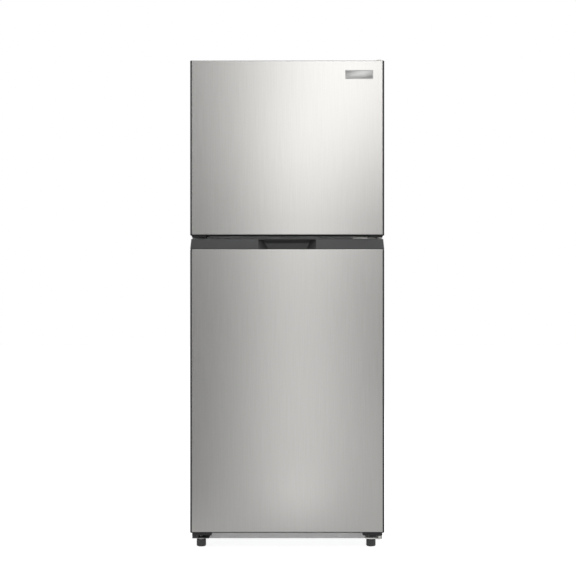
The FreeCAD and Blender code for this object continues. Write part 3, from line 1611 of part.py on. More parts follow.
def fan():
    """The motor on its arm, and four pitched blades around a hub that turns on its shaft."""
    motor_front = "cavity_back - motor_depth"
    hub_front = "cavity_back - fan_back"
    arm_depth = ("cavity_back - motor_arm_sheet", "cavity_back")
    arm_x, arm_z = about("0", "motor_arm_half"), about("fan_height", "motor_arm_rise")
    shaft_at = ("0", f"{hub_front} + 4", "fan_height")
    motor = [
        rod("motor_can", "Y", ("0", motor_front, "fan_height"), "motor_radius", "motor_depth"),
        rod("motor_shaft", "Y", shaft_at, "fan_shaft", "motor_depth - 4"),
        block("motor_arm", arm_x, arm_depth, arm_z),
    ]
    node(fuse("fan_motor", *motor))
    hub = rod("fan_hub_body", "Y", ("0", hub_front, "fan_height"), "fan_hub", "fan_width")
    middle = Vector(0, value(f"{hub_front} + fan_width/2"), value("fan_height"))
    pitch = FreeCAD.Rotation(Vector(1, 0, 0), 55)
    root = Vector(value("fan_hub - 3"), -value("blade_sheet/2"), -value("fan_width * 0.8"))
    blades = []
    for n in range(4):
        blade = doc.addObject("Part::Box", f"blade_{n}")
        blade.setExpression("Length", place("fan_radius - fan_hub + 3"))
        blade.setExpression("Width", place("blade_sheet"))
        blade.setExpression("Height", place("fan_width * 1.6"))
        turn = FreeCAD.Rotation(Vector(0, 1, 0), 90 * n + 20)
        blade.Placement = FreeCAD.Placement(middle + turn.multVec(pitch.multVec(root)), turn * pitch)
        blades.append(blade)
    bore_at = ("0", f"{hub_front} + 3.5", "fan_height")
    shaft_bore = rod("fan_bore", "Y", bore_at, "fan_shaft + pin_play", "fan_width")
    node(cut("fan_blades", fuse("fan_body", hub, *blades), shaft_bore))


def freezer_shelf():
    """A wire shelf: a frame of thick wire with thin wires welded across it."""
    half = "(cavity_half - ledge_reach + frame_wire)"
    level = "freezer_shelf + frame_wire"
    near, far = "shelf_edge + wire_shelf_margin", "cover_face - wire_shelf_margin"
    depth = f"({far}) - ({near})"
    rods = []
    for side in (-1, 1):
        rods.append(rod("shelf_side", "Y", (f"{side} * {half}", near, level), "frame_wire", depth))
    for where in (near, f"(({near}) + ({far}))/2", far):
        rods.append(rod("shelf_cross", "X", (f"-{half}", where, level), "frame_wire", f"2 * {half}"))
    wire_level = f"{level} + frame_wire + cross_wire - wire_sink"
    for n in range(-10, 11):
        at = (f"{n} * cross_wire_pitch", near, wire_level)
        rods.append(rod("shelf_wire", "Y", at, "cross_wire", depth))
    node(fuse("freezer_shelf", *rods))


# ---------------------------------------------------------------- fridge room


def shelves():
    """Three panes of glass with a trim along the front and the back of each."""
    panes, trims = [], []
    pane_y = ("shelf_edge + 3", "shelf_back - 3")
    trim_x = about("0", "cavity_half - ledge_reach - 1")
    trim_ends = [("shelf_edge", "shelf_edge + trim_width"), ("shelf_back - trim_width", "shelf_back")]
    for level in SHELVES:
        pane_z = (level, f"{level} + shelf_glass")
        pane = block("pane", about("0", "cavity_half - shelf_play"), pane_y, pane_z)
        panes.append(pane)
        for depth in trim_ends:
            bar = block("trim_bar", trim_x, depth, about(f"{level} + shelf_glass/2", "trim_height/2"))
            trims.append(cut("trim", bar, pane))
    node(group("shelf_glasses", *panes))
    node(group("shelf_trims", *trims))


def crispers():
    """Two drawers side by side under the lowest shelf, each with a grip along its front."""
    top = "fridge_floor + crisper_rest + crisper_height"
    near, far = "cabinet_front + crisper_front", "step_front - crisper_back_gap"
    middle_side, wall_side = "crisper_between/2", "cavity_half - crisper_side_gap"
    for side, label in ((-1, "crisper_left"), (1, "crisper_right")):
        outer = ordered(f"{side} * {middle_side}", f"{side} * ({wall_side})")
        inner = (f"{outer[0]} + crisper_wall", f"{outer[1]} - crisper_wall")
        drawer = Piece(label + "_form")
        around = box_outline((outer[0], near), (outer[1], far))
        drawer.pad("Z", around, "fridge_floor + crisper_rest", top)
        drawer.pocket(
            "Z",
            box_outline((inner[0], f"{near} + crisper_wall"), (inner[1], f"{far} - crisper_wall")),
            "fridge_floor + crisper_rest + crisper_wall",
            top,
            corner="crisper_corner - crisper_wall",
        )
        drawer.round_corners("Z", around, "crisper_corner")
        grip = [
            (f"{near} + 1", f"{top} - 3"),
            (f"{near} + 1", top),
            (f"{near} - crisper_grip", top),
            (f"{near} - crisper_grip", f"{top} - 14"),
            (f"{near} - crisper_grip + 3", f"{top} - 14"),
            (f"{near} - crisper_grip + 3", f"{top} - 3"),
        ]
        bar = Piece(label + "_grip")
        low, high = (f"{outer[0]} + crisper_corner", f"{outer[1]} - crisper_corner")
        bar.pad("X", grip, low, high)
        node(fuse(label, drawer, bar))


HOUSING_LOW = "fridge_ceiling - housing_height"
HOUSING_FRONT = "shelf_edge - housing_front"
HOUSING_BACK = "shelf_edge + housing_depth"
DIAL_LEVEL = f"{HOUSING_LOW} + housing_height/2"


def control_housing():
    """The box under the fridge's ceiling, with a bore for the dial's shaft."""
    shell = Piece("housing_form")
    outline = box_outline(("-housing_half", HOUSING_LOW), ("housing_half", "fridge_ceiling"))
    shell.pad("Y", outline, HOUSING_FRONT, HOUSING_BACK)
    edges = enumerate(shell.body.Shape.Edges, start=1)
    shell.fillet([f"Edge{n}" for n, edge in edges if is_low_edge(edge)], "housing_round")
    room = block(
        "housing_room",
        about("0", "housing_half - housing_wall"),
        (f"{HOUSING_FRONT} + housing_wall", f"{HOUSING_BACK} - housing_wall"),
        (f"{HOUSING_LOW} + housing_wall", "fridge_ceiling + 1"),
    )
    bore_at = ("dial_across", f"{HOUSING_FRONT} - 1", DIAL_LEVEL)
    bore = rod("dial_bore", "Y", bore_at, "dial_shaft + pin_play", "2 * housing_wall")
    node(cut("control_housing", shell, room, bore))


def temperature_dial():
    """A round knob with a grip ridge across it, on a shaft into the housing."""
    dial = Piece("dial_face")
    back = f"{HOUSING_FRONT} - touch_gap"
    face = f"{back} - dial_depth"
    dial.pad("Y", (("dial_across", DIAL_LEVEL), "dial_radius"), face, back)
    dial.round_rim("Y", face, "dial_round")
    ridge = block(
        "dial_ridge_bar",
        about("dial_across", "dial_ridge"),
        (f"{face} - dial_ridge", f"{face} + 1"),
        about(DIAL_LEVEL, "dial_radius - dial_ridge"),
    )
    shaft_at = ("dial_across", f"{HOUSING_FRONT} - 2", DIAL_LEVEL)
    shaft = rod("dial_shaft_rod", "Y", shaft_at, "dial_shaft", "dial_shaft_length")
    node(fuse("temperature_dial", dial, ridge, shaft))


def lamp_lens():
    lens = Piece("lamp_lens")
    outline = box_outline(
        ("-lens_reach", f"{HOUSING_FRONT} + lens_inset"),
        ("0", f"{HOUSING_BACK} - lens_inset"),
    )
    lens.pad("Z", outline, f"{HOUSING_LOW} - lens_depth", HOUSING_LOW, corner="lens_corner")
    lens.round_rim("Z", f"{HOUSING_LOW} - lens_depth", "lens_corner/2")
    node(lens)


def air_duct():
    """The cold air duct up the back wall, with four vents."""
    duct = Piece("duct_form")
    outline = box_outline(("-duct_half", "step_top + duct_rise"), ("duct_half", "fridge_ceiling"))
    face = "cavity_back - duct_depth"
    duct.pad("Y", outline, face, "cavity_back")
    vents = []
    for n in range(4):
        low = f"step_top + vent_rise + {n} * vent_pitch"
        depth = (f"{face} - 1", f"{face} + vent_depth")
        vents.append(block("vent", about("0", "vent_half"), depth, (low, f"{low} + vent_height")))
    node(cut("air_duct", duct, *vents))


def light_switch():
    """The door's light switch in the front flange, and its plunger."""
    body = block(
        "switch_body",
        about("switch_across", "switch_half"),
        ("cabinet_front", "cabinet_front + switch_depth"),
        about("switch_level", "switch_height/2"),
    )
    bezel = block(
        "switch_bezel_plate",
        about("switch_across", "switch_half + switch_bezel"),
        ("cabinet_front - bezel_proud", "cabinet_front"),
        about("switch_level", "switch_height/2 + switch_bezel"),
    )
    bore_at = ("switch_across", "cabinet_front - 2 * bezel_proud", "switch_level")
    bore = rod("switch_bore", "Y", bore_at, "plunger_radius + plunger_play", "switch_depth")
    node(cut("light_switch", fuse("switch_whole", body, bezel), bore))
    tip = "door_back + touch_gap"
    plunger = Piece("switch_plunger")
    plunger.pad("Y", (("switch_across", "switch_level"), "plunger_radius"), tip, "cabinet_front + 10")
    plunger.round_rim("Y", tip, "plunger_round")
    node(plunger)


def is_low_edge(edge):
    """True for the two edges along y at the bottom of the control housing."""
    box = edge.BoundBox
    level = value(HOUSING_LOW)
    return box.XLength < 1e-6 and abs(box.ZMin - level) < 1e-4 and abs(box.ZMax - level) < 1e-4


# ---------------------------------------------------------------- build and write

cabinet_shell()
cabinet_steel()
freezer_liner()
fridge_liner()
cabinet_foam()

door_front("freezer_door_front", "freezer_low + frame_bottom", "freezer_panel_top")
freezer_cuts = freezer_frame()
freezer_top = "freezer_high - top_bar"
door_inner("freezer", "freezer_low", freezer_top, freezer_cuts, "freezer_panel_top - panel_sheet")
door_front("fridge_door_front", "fridge_low + frame_bottom", "fridge_panel_top")
fridge_cuts = [fridge_frame(), handle_cap()]
door_inner("fridge", "fridge_low", "fridge_panel_top", fridge_cuts, "fridge_panel_top - panel_sheet")
for room in ROOMS:
    gasket(room)
    door_bins(room)
badge()

middle_hinge()
top_hinge()
top_hinge_cover()
bottom_hinge()
left_foot_bracket()
hinge_screws()
door_closers()
feet()
rollers()
compressor_plate()
compressor()
drip_pan()
refrigerant_pipes()
wire_condenser()
evaporator_cover()
freezer_slider()
evaporator()
fan()
freezer_shelf()
shelves()
crispers()
control_housing()
temperature_dial()
lamp_lens()
air_duct()
light_switch()

doc.recompute()
for made in doc.Objects:
    if "Invalid" in made.State or "Error" in made.State:
        raise ValueError(f"{made.Label} did not compute: {made.State}")
for made in NODES:
    if made.Shape.isNull() or not made.Shape.isValid() or not made.Shape.Solids:
        raise ValueError(f"{made.Label} has no valid solid")

os.makedirs("parts", exist_ok=True)
for made in NODES:
    made.Shape.exportStep(f"parts/{made.Label}.step")
print(f"{len(NODES)} parts written")
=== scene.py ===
import math

import bmesh
import bpy
from mathutils import Matrix, Vector


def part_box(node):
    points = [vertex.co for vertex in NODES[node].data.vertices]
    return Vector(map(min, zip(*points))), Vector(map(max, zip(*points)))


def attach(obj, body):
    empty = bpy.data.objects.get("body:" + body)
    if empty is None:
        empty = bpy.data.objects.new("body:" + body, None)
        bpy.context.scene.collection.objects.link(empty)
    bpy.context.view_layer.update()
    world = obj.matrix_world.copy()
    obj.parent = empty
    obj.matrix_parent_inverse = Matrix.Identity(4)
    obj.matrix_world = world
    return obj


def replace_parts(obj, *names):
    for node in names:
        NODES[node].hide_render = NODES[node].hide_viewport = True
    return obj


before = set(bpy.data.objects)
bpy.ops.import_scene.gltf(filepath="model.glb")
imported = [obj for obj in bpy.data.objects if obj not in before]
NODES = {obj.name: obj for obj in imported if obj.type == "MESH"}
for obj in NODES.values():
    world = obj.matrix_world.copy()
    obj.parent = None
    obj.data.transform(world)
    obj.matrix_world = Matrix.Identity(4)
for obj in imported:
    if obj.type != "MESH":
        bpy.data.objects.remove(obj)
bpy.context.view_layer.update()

MM = 0.001

# ------------------------------------------------------------------ materials


def linear(hex_code):
    """An sRGB hex colour as linear RGBA."""
    channels = [int(hex_code[n : n + 2], 16) / 255 for n in (0, 2, 4)]
    return [c / 12.92 if c <= 0.04045 else ((c + 0.055) / 1.055) ** 2.4 for c in channels] + [1.0]


# The colour sockets of a Mix node: its two inputs and its output.
COLOUR_A, COLOUR_B, COLOUR_OUT = 6, 7, 2
# The middle of a noise, which is stretched so that a pattern reaches both of its ends.
TONE_LOW, TONE_HIGH = 0.33, 0.67
ROUGH_LOW, ROUGH_HIGH = 0.3, 0.7
# The slow pattern has nine cells to the metre, about 0.1 m each.
SLOW_CELLS = 9.0


def add(tree, kind, links=None, **settings):
    """Adds one node: settings go to its properties or its sockets, links come from other sockets."""
    node = tree.nodes.new(kind)
    for key, value in settings.items():
        name = key.replace("_", " ")
        if hasattr(node, key):
            setattr(node, key, value)
        else:
            next(s for s in node.inputs if s.name.lower() == name and s.enabled).default_value = value
    for key, source in (links or {}).items():
        if isinstance(key, int):
            socket = node.inputs[key]
        else:
            socket = next(s for s in node.inputs if s.name == key and s.enabled)
        tree.links.new(source, socket)
    return node


def finish_of(
    name, light, dark, grain, roughness=(0.4, 0.5), bump=0.01, stretch=(1, 1, 1), cloud=0.5, **shader
):
    """A moulded, painted or worked surface.

    light and dark are the hex colours that its pattern runs between, grain is the size of its
    fine pattern in millimetres, times stretch along each axis, and cloud is how much of the
    colour follows a slow pattern of about 0.1 m instead. roughness is its lowest and highest
    value over the fine pattern, and bump is that pattern's depth in millimetres. Anything more
    goes to the shader's own sockets.
    """
    material = bpy.data.materials.new(name)
    material.use_nodes = True
    tree = material.node_tree
    tree.nodes.clear()
    place = add(tree, "ShaderNodeTexCoord").outputs["Object"]
    scale = [1 / (grain * MM * s) for s in stretch]
    spread = add(tree, "ShaderNodeMapping", {"Vector": place}, scale=scale)
    fine = add(tree, "ShaderNodeTexNoise", {"Vector": spread.outputs[0]}, detail=4.0, roughness=0.6)
    broad = add(tree, "ShaderNodeTexNoise", {"Vector": place}, scale=SLOW_CELLS, detail=2.0)
    both = {"A": fine.outputs["Fac"], "B": broad.outputs["Fac"]}
    mixed = add(tree, "ShaderNodeMix", both, data_type="FLOAT", factor=cloud)
    level = add(
        tree,
        "ShaderNodeMapRange",
        {"Value": mixed.outputs[0]},
        from_min=TONE_LOW,
        from_max=TONE_HIGH,
    )
    tone = add(tree, "ShaderNodeMix", {"Factor": level.outputs[0]}, data_type="RGBA")
    tone.inputs[COLOUR_A].default_value = linear(dark)
    tone.inputs[COLOUR_B].default_value = linear(light)
    rough = add(
        tree,
        "ShaderNodeMapRange",
        {"Value": fine.outputs["Fac"]},
        from_min=ROUGH_LOW,
        from_max=ROUGH_HIGH,
        to_min=roughness[0],
        to_max=roughness[1],
    )
    relief = add(tree, "ShaderNodeBump", {"Height": fine.outputs["Fac"]}, distance=bump * MM, strength=1.0)
    body = add(
        tree,
        "ShaderNodeBsdfPrincipled",
        {
            "Base Color": tone.outputs[COLOUR_OUT],
            "Roughness": rough.outputs[0],
            "Normal": relief.outputs[0],
        },
        **shader,
    )
    add(tree, "ShaderNodeOutputMaterial", {"Surface": body.outputs[0]})
    return material


# Ferritic stainless steel, rolled flat and brushed upright: long upright hairlines that spread
# the light sideways. Real hairlines are 0.1 mm wide; they are drawn 3 mm wide so that they show.
BRUSHED_STEEL = finish_of(
    "brushed_stainless_steel",
    light="989795",
    dark="908f8d",
    grain=3.2,
    metallic=1.0,
    roughness=(0.33, 0.37),
    bump=0.001,
    stretch=(1, 1, 200),
    cloud=0.0,
)
# Pre-painted steel sheet: a satin coat with a faint orange peel of about 2 mm.
CABINET_PAINT = finish_of(
    "satin_enamel_on_steel",
    light="a4a4a3",
    dark="9e9e9d",
    grain=2.0,
    roughness=(0.38, 0.46),
    bump=0.006,
    cloud=0.2,
)
# The same coat in a paler grey, on the rails between and under the doors. The paler grey is partly painted
# light, which brightens the rails where they lie in the shade of the doors.
RAIL_PAINT_AND_PAINTED_LIGHT = finish_of(
    "satin_rail_enamel_and_painted_light",
    light="e2e2e0",
    dark="d8d8d6",
    grain=2.0,
    roughness=(0.38, 0.46),
    bump=0.006,
)
# Hot dipped sheet: large soft crystals, dull and grey.
GALVANISED = finish_of(
    "galvanised_sheet",
    light="adb0b2",
    dark="999c9e",
    grain=9.0,
    metallic=0.85,
    roughness=(0.4, 0.55),
    bump=0.004,
    cloud=0.1,
)
# Zinc plate on pressed steel: pale and satin, with the fine lines of the press.
ZINC = finish_of(
    "satin_zinc_plate",
    light="d2d2ce",
    dark="bebeba",
    grain=1.2,
    metallic=0.5,
    roughness=(0.4, 0.5),
    stretch=(6, 1, 1),
)
# ABS moulded in a spark eroded tool: a fine even grain that takes the shine off.
DARK_ABS = finish_of(
    "dark_grained_abs",
    light="383839",
    dark="2f2f30",
    grain=0.8,
    roughness=(0.45, 0.58),
    bump=0.012,
    specular_ior_level=0.4,
)
# The same plastic with a deeper grain, nearly black, so that the door edges stay a dark line.
SIDE_ABS = finish_of(
    "edge_trim_abs",
    light="1d1d1e",
    dark="141415",
    grain=0.8,
    roughness=(0.6, 0.72),
    bump=0.02,
    specular_ior_level=0.3,
)
# Black painted steel: a thin satin powder coat.
BLACK_STEEL = finish_of(
    "black_powder_coat",
    light="26262a",
    dark="18181a",
    grain=0.7,
    roughness=(0.35, 0.5),
    bump=0.01,
)
# Glass filled nylon, moulded: nearly black, with a fine dull grain.
BLACK_NYLON = finish_of(
    "black_moulded_nylon",
    light="18181a",
    dark="101011",
    grain=0.9,
    roughness=(0.5, 0.62),
    bump=0.01,
    specular_ior_level=0.3,
)
# Pad printed ink: a thin matt grey film.
PRINT_INK = finish_of(
    "grey_pad_print",
    light="6a6f74",
    dark="5e6368",
    grain=0.6,
    roughness=(0.5, 0.6),
    bump=0.004,
)
# High impact polystyrene drawn over a mould: glossy white with a faint slow ripple.
LINER_WHITE = finish_of(
    "vacuum_formed_polystyrene",
    light="eff0ef",
    dark="e8eaea",
    grain=14.0,
    roughness=(0.24, 0.28),
    bump=0.02,
)
# ABS moulded in a polished tool, for the small white fittings: an even satin white.
MOULDED_WHITE = finish_of(
    "white_moulded_abs",
    light="ededeb",
    dark="e2e3e1",
    grain=1.0,
    roughness=(0.3, 0.4),
    bump=0.008,
)
# Rigid polyurethane foam: a cream skin over closed cells of about 1 mm.
FOAM = finish_of(
    "rigid_urethane_foam",
    light="e6d7a3",
    dark="cbb97f",
    grain=1.2,
    roughness=(0.8, 0.95),
    bump=0.15,
)
# Extruded soft vinyl: matt grey with a fine dull grain.
VINYL = finish_of(
    "extruded_soft_vinyl",
    light="8d8e8f",
    dark="7d7e80",
    grain=1.5,
    roughness=(0.55, 0.7),
    bump=0.02,
)
# Moulded rubber: dull, with a fine grain.
RUBBER = finish_of(
    "moulded_rubber",
    light="2a2a2b",
    dark="1c1c1d",
    grain=0.8,
    roughness=(0.7, 0.85),
    bump=0.02,
)
# Drawn copper tube, a little tarnished.
COPPER = finish_of(
    "drawn_copper_tube",
    light="c98a63",
    dark="a8663f",
    grain=6.0,
    metallic=1.0,
    roughness=(0.25, 0.45),
)
# Rolled aluminium fins and tube: bright, with a faint mottle.
ALUMINIUM = finish_of(
    "rolled_aluminium_fin",
    light="d3d5d7",
    dark="bcbfc2",
    grain=3.0,
    metallic=1.0,
    roughness=(0.25, 0.4),
)
# Steel wire dipped in white nylon: smooth and glossy.
WHITE_WIRE = finish_of(
    "nylon_coated_wire",
    light="f0f0ee",
    dark="e4e4e2",
    grain=2.0,
    roughness=(0.2, 0.3),
    bump=0.01,
)
# Nickel chrome plate: a darker satin rim, and a paler middle brushed upright.
CHROME_RIM = finish_of(
    "satin_chrome_rim",
    light="727272",
    dark="666666",
    grain=1.0,
    metallic=1.0,
    roughness=(0.3, 0.38),
)
CHROME_FIELD = finish_of(
    "satin_chrome_plate",
    light="8c8c8b",
    dark="828281",
    grain=0.8,
    metallic=1.0,
    roughness=(0.36, 0.42),
    stretch=(1, 1, 20),
    cloud=0.0,
)
# Float glass: clear, with the green edge of iron. Polystyrene: clear with a faint blue.
GLASS = finish_of(
    "float_glass",
    light="f2faf7",
    dark="e9f5f1",
    grain=30.0,
    roughness=(0.0, 0.03),
    bump=0.001,
    transmission_weight=1.0,
    ior=1.5,
)
CLEAR = finish_of(
    "clear_moulded_polystyrene",
    light="f3f7fa",
    dark="eaf1f5",
    grain=25.0,
    roughness=(0.03, 0.1),
    bump=0.01,
    transmission_weight=0.92,
    ior=1.55,
)

FINISHES = {
    BRUSHED_STEEL: ["freezer_door_front", "fridge_door_front"],
    CABINET_PAINT: ["cabinet_shell"],
    RAIL_PAINT_AND_PAINTED_LIGHT: ["mullion_rail", "base_rail"],
    GALVANISED: ["back_panel", "base_tray", "compressor_plate", "roller_brackets"],
    ZINC: ["top_hinge", "middle_hinge", "bottom_hinge", "hinge_screws"],
    DARK_ABS: ["handle_cap", "top_hinge_cover"],
    SIDE_ABS: ["freezer_door_frame", "fridge_door_frame"],
    BLACK_STEEL: ["left_foot_bracket", "compressor", "wire_condenser"],
    BLACK_NYLON: [
        "relay_cover",
        "condenser_mounts",
        "drip_pan",
        "fan_motor",
        "fan_blades",
        "fridge_door_closers",
        "roller_left",
        "roller_right",
    ],
    LINER_WHITE: [
        "freezer_liner",
        "fridge_liner",
        "freezer_door_liner",
        "fridge_door_liner",
        "evaporator_cover",
    ],
    MOULDED_WHITE: [
        "control_housing",
        "shelf_trims",
        "air_duct",
        "light_switch",
        "switch_plunger",
        "temperature_dial",
        "freezer_slider",
    ],
    FOAM: ["cabinet_foam", "freezer_door_foam", "fridge_door_foam"],
    RUBBER: ["compressor_grommets"],
    COPPER: ["refrigerant_pipes"],
    ALUMINIUM: ["evaporator", "defrost_heater"],
    WHITE_WIRE: ["freezer_shelf"],
    CHROME_RIM: ["badge"],
    GLASS: ["shelf_glasses"],
    CLEAR: ["crisper_left", "crisper_right", "freezer_door_bins", "fridge_door_bins", "lamp_lens"],
}


def dress(piece, material):
    piece.data.materials.clear()
    piece.data.materials.append(material)


for material, names in FINISHES.items():
    for name in names:
        dress(NODES[name], material)

# ------------------------------------------------------------------ pieces


# Faces that meet at less than this angle are shaded as one surface, in degrees.
SMOOTH_ANGLE = 40


def piece(name, mesh, body, material, slot):
    """A new mesh piece that rides on a body."""
    made = bpy.data.objects.new(name, mesh)
    bpy.context.scene.collection.objects.link(made)
    dress(made, material)
    mesh.shade_smooth()
    mesh.set_sharp_from_angle(angle=math.radians(SMOOTH_ANGLE))
    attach(made, body)
    return made


def mesh_of(name, points, faces):
    mesh = bpy.data.meshes.new(name)
    mesh.from_pydata(points, [], faces)
    solid = bmesh.new()
    solid.from_mesh(mesh)
    bmesh.ops.recalc_face_normals(solid, faces=solid.faces)
    solid.to_mesh(mesh)
    solid.free()
    return mesh


def ring_path(low, high, corner, steps=8):
    """A rounded rectangle in x and z, as points with their outward normals."""
    path = []
    turns = [((high.x, high.z), 0), ((low.x, high.z), 90), ((low.x, low.z), 180), ((high.x, low.z), 270)]
    for (x, z), start in turns:
        centre_x = x - math.copysign(corner, x - (low.x + high.x) / 2)
        centre_z = z - math.copysign(corner, z - (low.z + high.z) / 2)
        for n in range(steps + 1):
            angle = math.radians(start + 90 * n / steps)
            normal = (math.cos(angle), math.sin(angle))
            path.append((centre_x + corner * normal[0], centre_z + corner * normal[1], *normal))
    return path


def swept_ring(name, path, section):
    """A closed section of (inward, along y) points carried round a path."""
    points, faces = [], []
    for x, z, out_x, out_z in path:
        points += [(x - out_x * inward, y, z - out_z * inward) for inward, y in section]
    count, around = len(section), len(path)
    for n in range(around):
        for m in range(count):
            a, b = n * count, (n + 1) % around * count
            faces.append((a + m, a + (m + 1) % count, b + (m + 1) % count, b + m))
    return mesh_of(name, points, faces)


def turned(name, centre, profile, segments, rib=None):
    """A shape turned about an upright axis. rib(angle, radius, height) may shape its side."""
    points, faces = [], []
    for radius, height in profile:
        for n in range(segments):
            angle = math.tau * n / segments
            r = rib(angle, radius, height) if rib else radius
            points.append((centre.x + r * math.cos(angle), centre.y + r * math.sin(angle), height))
    rows = len(profile)
    for row in range(rows - 1):
        for n in range(segments):
            a, b = row * segments, (row + 1) * segments
            m = (n + 1) % segments
            faces.append((a + n, a + m, b + m, b + n))
    faces.append(tuple(range(segments - 1, -1, -1)))
    faces.append(tuple((rows - 1) * segments + n for n in range(segments)))
    return mesh_of(name, points, faces)


GASKET_WIDTH = 16 * MM
GASKET_CORNER = 3 * MM
# The gasket's section, as shares of its width and depth: a base lip, a bellows with two folds,
# and the pocket that holds the magnet.
GASKET_SECTION = [
    (0.02, 0.0),
    (0.98, 0.0),
    (0.98, 0.10),
    (0.74, 0.16),
    (0.80, 0.30),
    (0.92, 0.36),
    (0.92, 0.44),
    (0.78, 0.50),
    (0.80, 0.60),
    (1.0, 0.66),
    (1.0, 0.96),
    (0.96, 1.0),
    (0.04, 1.0),
    (0.0, 0.96),
    (0.0, 0.66),
    (0.20, 0.60),
    (0.22, 0.50),
    (0.08, 0.44),
    (0.08, 0.36),
    (0.20, 0.30),
    (0.26, 0.16),
    (0.02, 0.10),
]


def gasket(door):
    node = door + "_door_gasket"
    low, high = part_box(node)
    depth = high.y - low.y
    scaled = [(GASKET_WIDTH * inward, low.y + depth * along) for inward, along in GASKET_SECTION]
    mesh = swept_ring(node + "_bellows", ring_path(low, high, GASKET_CORNER), scaled)
    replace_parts(piece(node + "_bellows", mesh, door + "_door", VINYL, "gasket_vinyl"), node)


for door in ("freezer", "fridge"):
    gasket(door)

# The feet: ribbed round pads with a rolled lower edge, a hex nut and a threaded stem.
RIBS = 20
RIB_DEPTH = 0.9 * MM
RIB_LOW, RIB_HIGH = 3.5 * MM, 18 * MM
# The groove takes the part of each turn where the sine is below this.
RIB_GROOVE = -0.2
PAD_TOP = 22 * MM
NUT_TOP = 27.6 * MM
NUT_CHAMFER = 0.8 * MM
NUT_RADIUS = 11 * MM
# The nut's flats and its chamfered ends, as shares of its radius.
NUT_FLAT, NUT_END = 0.88, 0.86
THREAD_PITCH = 1.25 * MM
THREAD_ROOT, THREAD_CREST = 3.4 * MM, 4.0 * MM
# Where the thread's crest begins and ends, as shares of its pitch.
CREST_LOW, CREST_HIGH = 0.4, 0.6


def foot(side):
    node = "foot_" + side
    low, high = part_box(node)
    centre = (low + high) / 2
    pad_radius = (high.x - low.x) / 2

    def ribbed(angle, radius, height):
        inside = RIB_LOW < height < RIB_HIGH and radius > pad_radius - 1 * MM
        return radius - (RIB_DEPTH if inside and math.sin(RIBS * angle) < RIB_GROOVE else 0)

    pad = [
        (pad_radius - 4 * MM, 0.0),
        (pad_radius - 2 * MM, 0.5 * MM),
        (pad_radius - 0.7 * MM, 1.8 * MM),
        (pad_radius, 3.4 * MM),
        (pad_radius, 4 * MM),
        (pad_radius, 17.5 * MM),
        (pad_radius, 18.4 * MM),
        (pad_radius, 20.8 * MM),
        (pad_radius - 1.2 * MM, PAD_TOP),
        (6 * MM, PAD_TOP),
    ]
    body = node + "_body"
    pad_mesh = turned(node + "_pad", centre, pad, segments=120, rib=ribbed)
    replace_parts(piece(node + "_pad", pad_mesh, body, DARK_ABS, "dark_moulding"), node)
    nut = [
        (NUT_RADIUS * NUT_END, PAD_TOP),
        (NUT_RADIUS, PAD_TOP + NUT_CHAMFER),
        (NUT_RADIUS, NUT_TOP - NUT_CHAMFER),
        (NUT_RADIUS * NUT_END, NUT_TOP),
    ]

    def hexagon(angle, radius, height):
        flat = NUT_RADIUS * NUT_FLAT / math.cos((angle % (math.pi / 3)) - math.pi / 6)
        return min(radius, flat)

    nut_mesh = turned(node + "_nut", centre, nut, segments=96, rib=hexagon)
    piece(node + "_nut", nut_mesh, body, ZINC, "zinc_plate")
    stem = []
    height = NUT_TOP
    while height + THREAD_PITCH < high.z:
        stem += [
            (THREAD_ROOT, height),
            (THREAD_CREST, height + THREAD_PITCH * CREST_LOW),
            (THREAD_CREST, height + THREAD_PITCH * CREST_HIGH),
        ]
        height += THREAD_PITCH
    stem.append((THREAD_ROOT, high.z))
    stem_mesh = turned(node + "_stem", centre, stem, segments=32)
    piece(node + "_stem", stem_mesh, body, ZINC, "zinc_plate")


for side in ("left", "right"):
    foot(side)


# The badge plate's paler middle, bare. Its front lies just behind the face of the rim.
BADGE_RIM = 2 * MM
FIELD_GAP = 0.1 * MM
FIELD_CORNER = 0.6 * MM
FIELD_FRONT, FIELD_BACK = 0.15 * MM, 0.45 * MM
FIELD_BEVEL, FIELD_BEVEL_DEPTH = 0.25 * MM, 0.1 * MM


def badge_field():
    low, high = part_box("badge")
    inner_low = Vector((low.x + BADGE_RIM + FIELD_GAP, 0, low.z + BADGE_RIM + FIELD_GAP))
    inner_high = Vector((high.x - BADGE_RIM - FIELD_GAP, 0, high.z - BADGE_RIM - FIELD_GAP))
    path = ring_path(inner_low, inner_high, FIELD_CORNER, steps=3)
    front, back = low.y + FIELD_FRONT, low.y + FIELD_BACK
    points, faces = [], []
    for inset, y in ((0, back), (0, front + FIELD_BEVEL_DEPTH), (FIELD_BEVEL, front)):
        points += [(x - nx * inset, y, z - nz * inset) for x, z, nx, nz in path]
    count = len(path)
    for row in range(2):
        for n in range(count):
            m = (n + 1) % count
            faces.append((row * count + n, row * count + m, (row + 1) * count + m, (row + 1) * count + n))
    faces.append(tuple(2 * count + n for n in range(count)))
    faces.append(tuple(range(count - 1, -1, -1)))
    mesh = mesh_of("badge_field", points, faces)
    piece("badge_field", mesh, "freezer_door", CHROME_FIELD, "chrome_badge")


badge_field()

# The marks on the temperature dial: six printed numbers that turn with it, and a pointer over it.
MARK_HEIGHT = 6 * MM
MARK_RADIUS = 15.5 * MM
MARK_ANGLES = (225, 180, 135, 45, 0, -45)
INK = 0.12 * MM
# How far the face of the dial, with its numbers, lies behind the front of its grip.
DIAL_GRIP = 3 * MM
POINTER_GAP = 1 * MM
POINTER_HALF, POINTER_RISE = 2 * MM, 3 * MM


def number_mesh(name, digit):
    """The mesh of a number, upright in x and z, raised by the thickness of the ink."""
    curve = bpy.data.curves.new(name, "FONT")
    curve.body = digit
    curve.size = MARK_HEIGHT
    curve.align_x = curve.align_y = "CENTER"
    curve.extrude = INK
    holder = bpy.data.objects.new(name, curve)
    mesh = bpy.data.meshes.new_from_object(holder)
    bpy.data.objects.remove(holder)
    mesh.materials.clear()
    mesh.transform(Matrix.Rotation(math.pi / 2, 4, "X"))
    return mesh


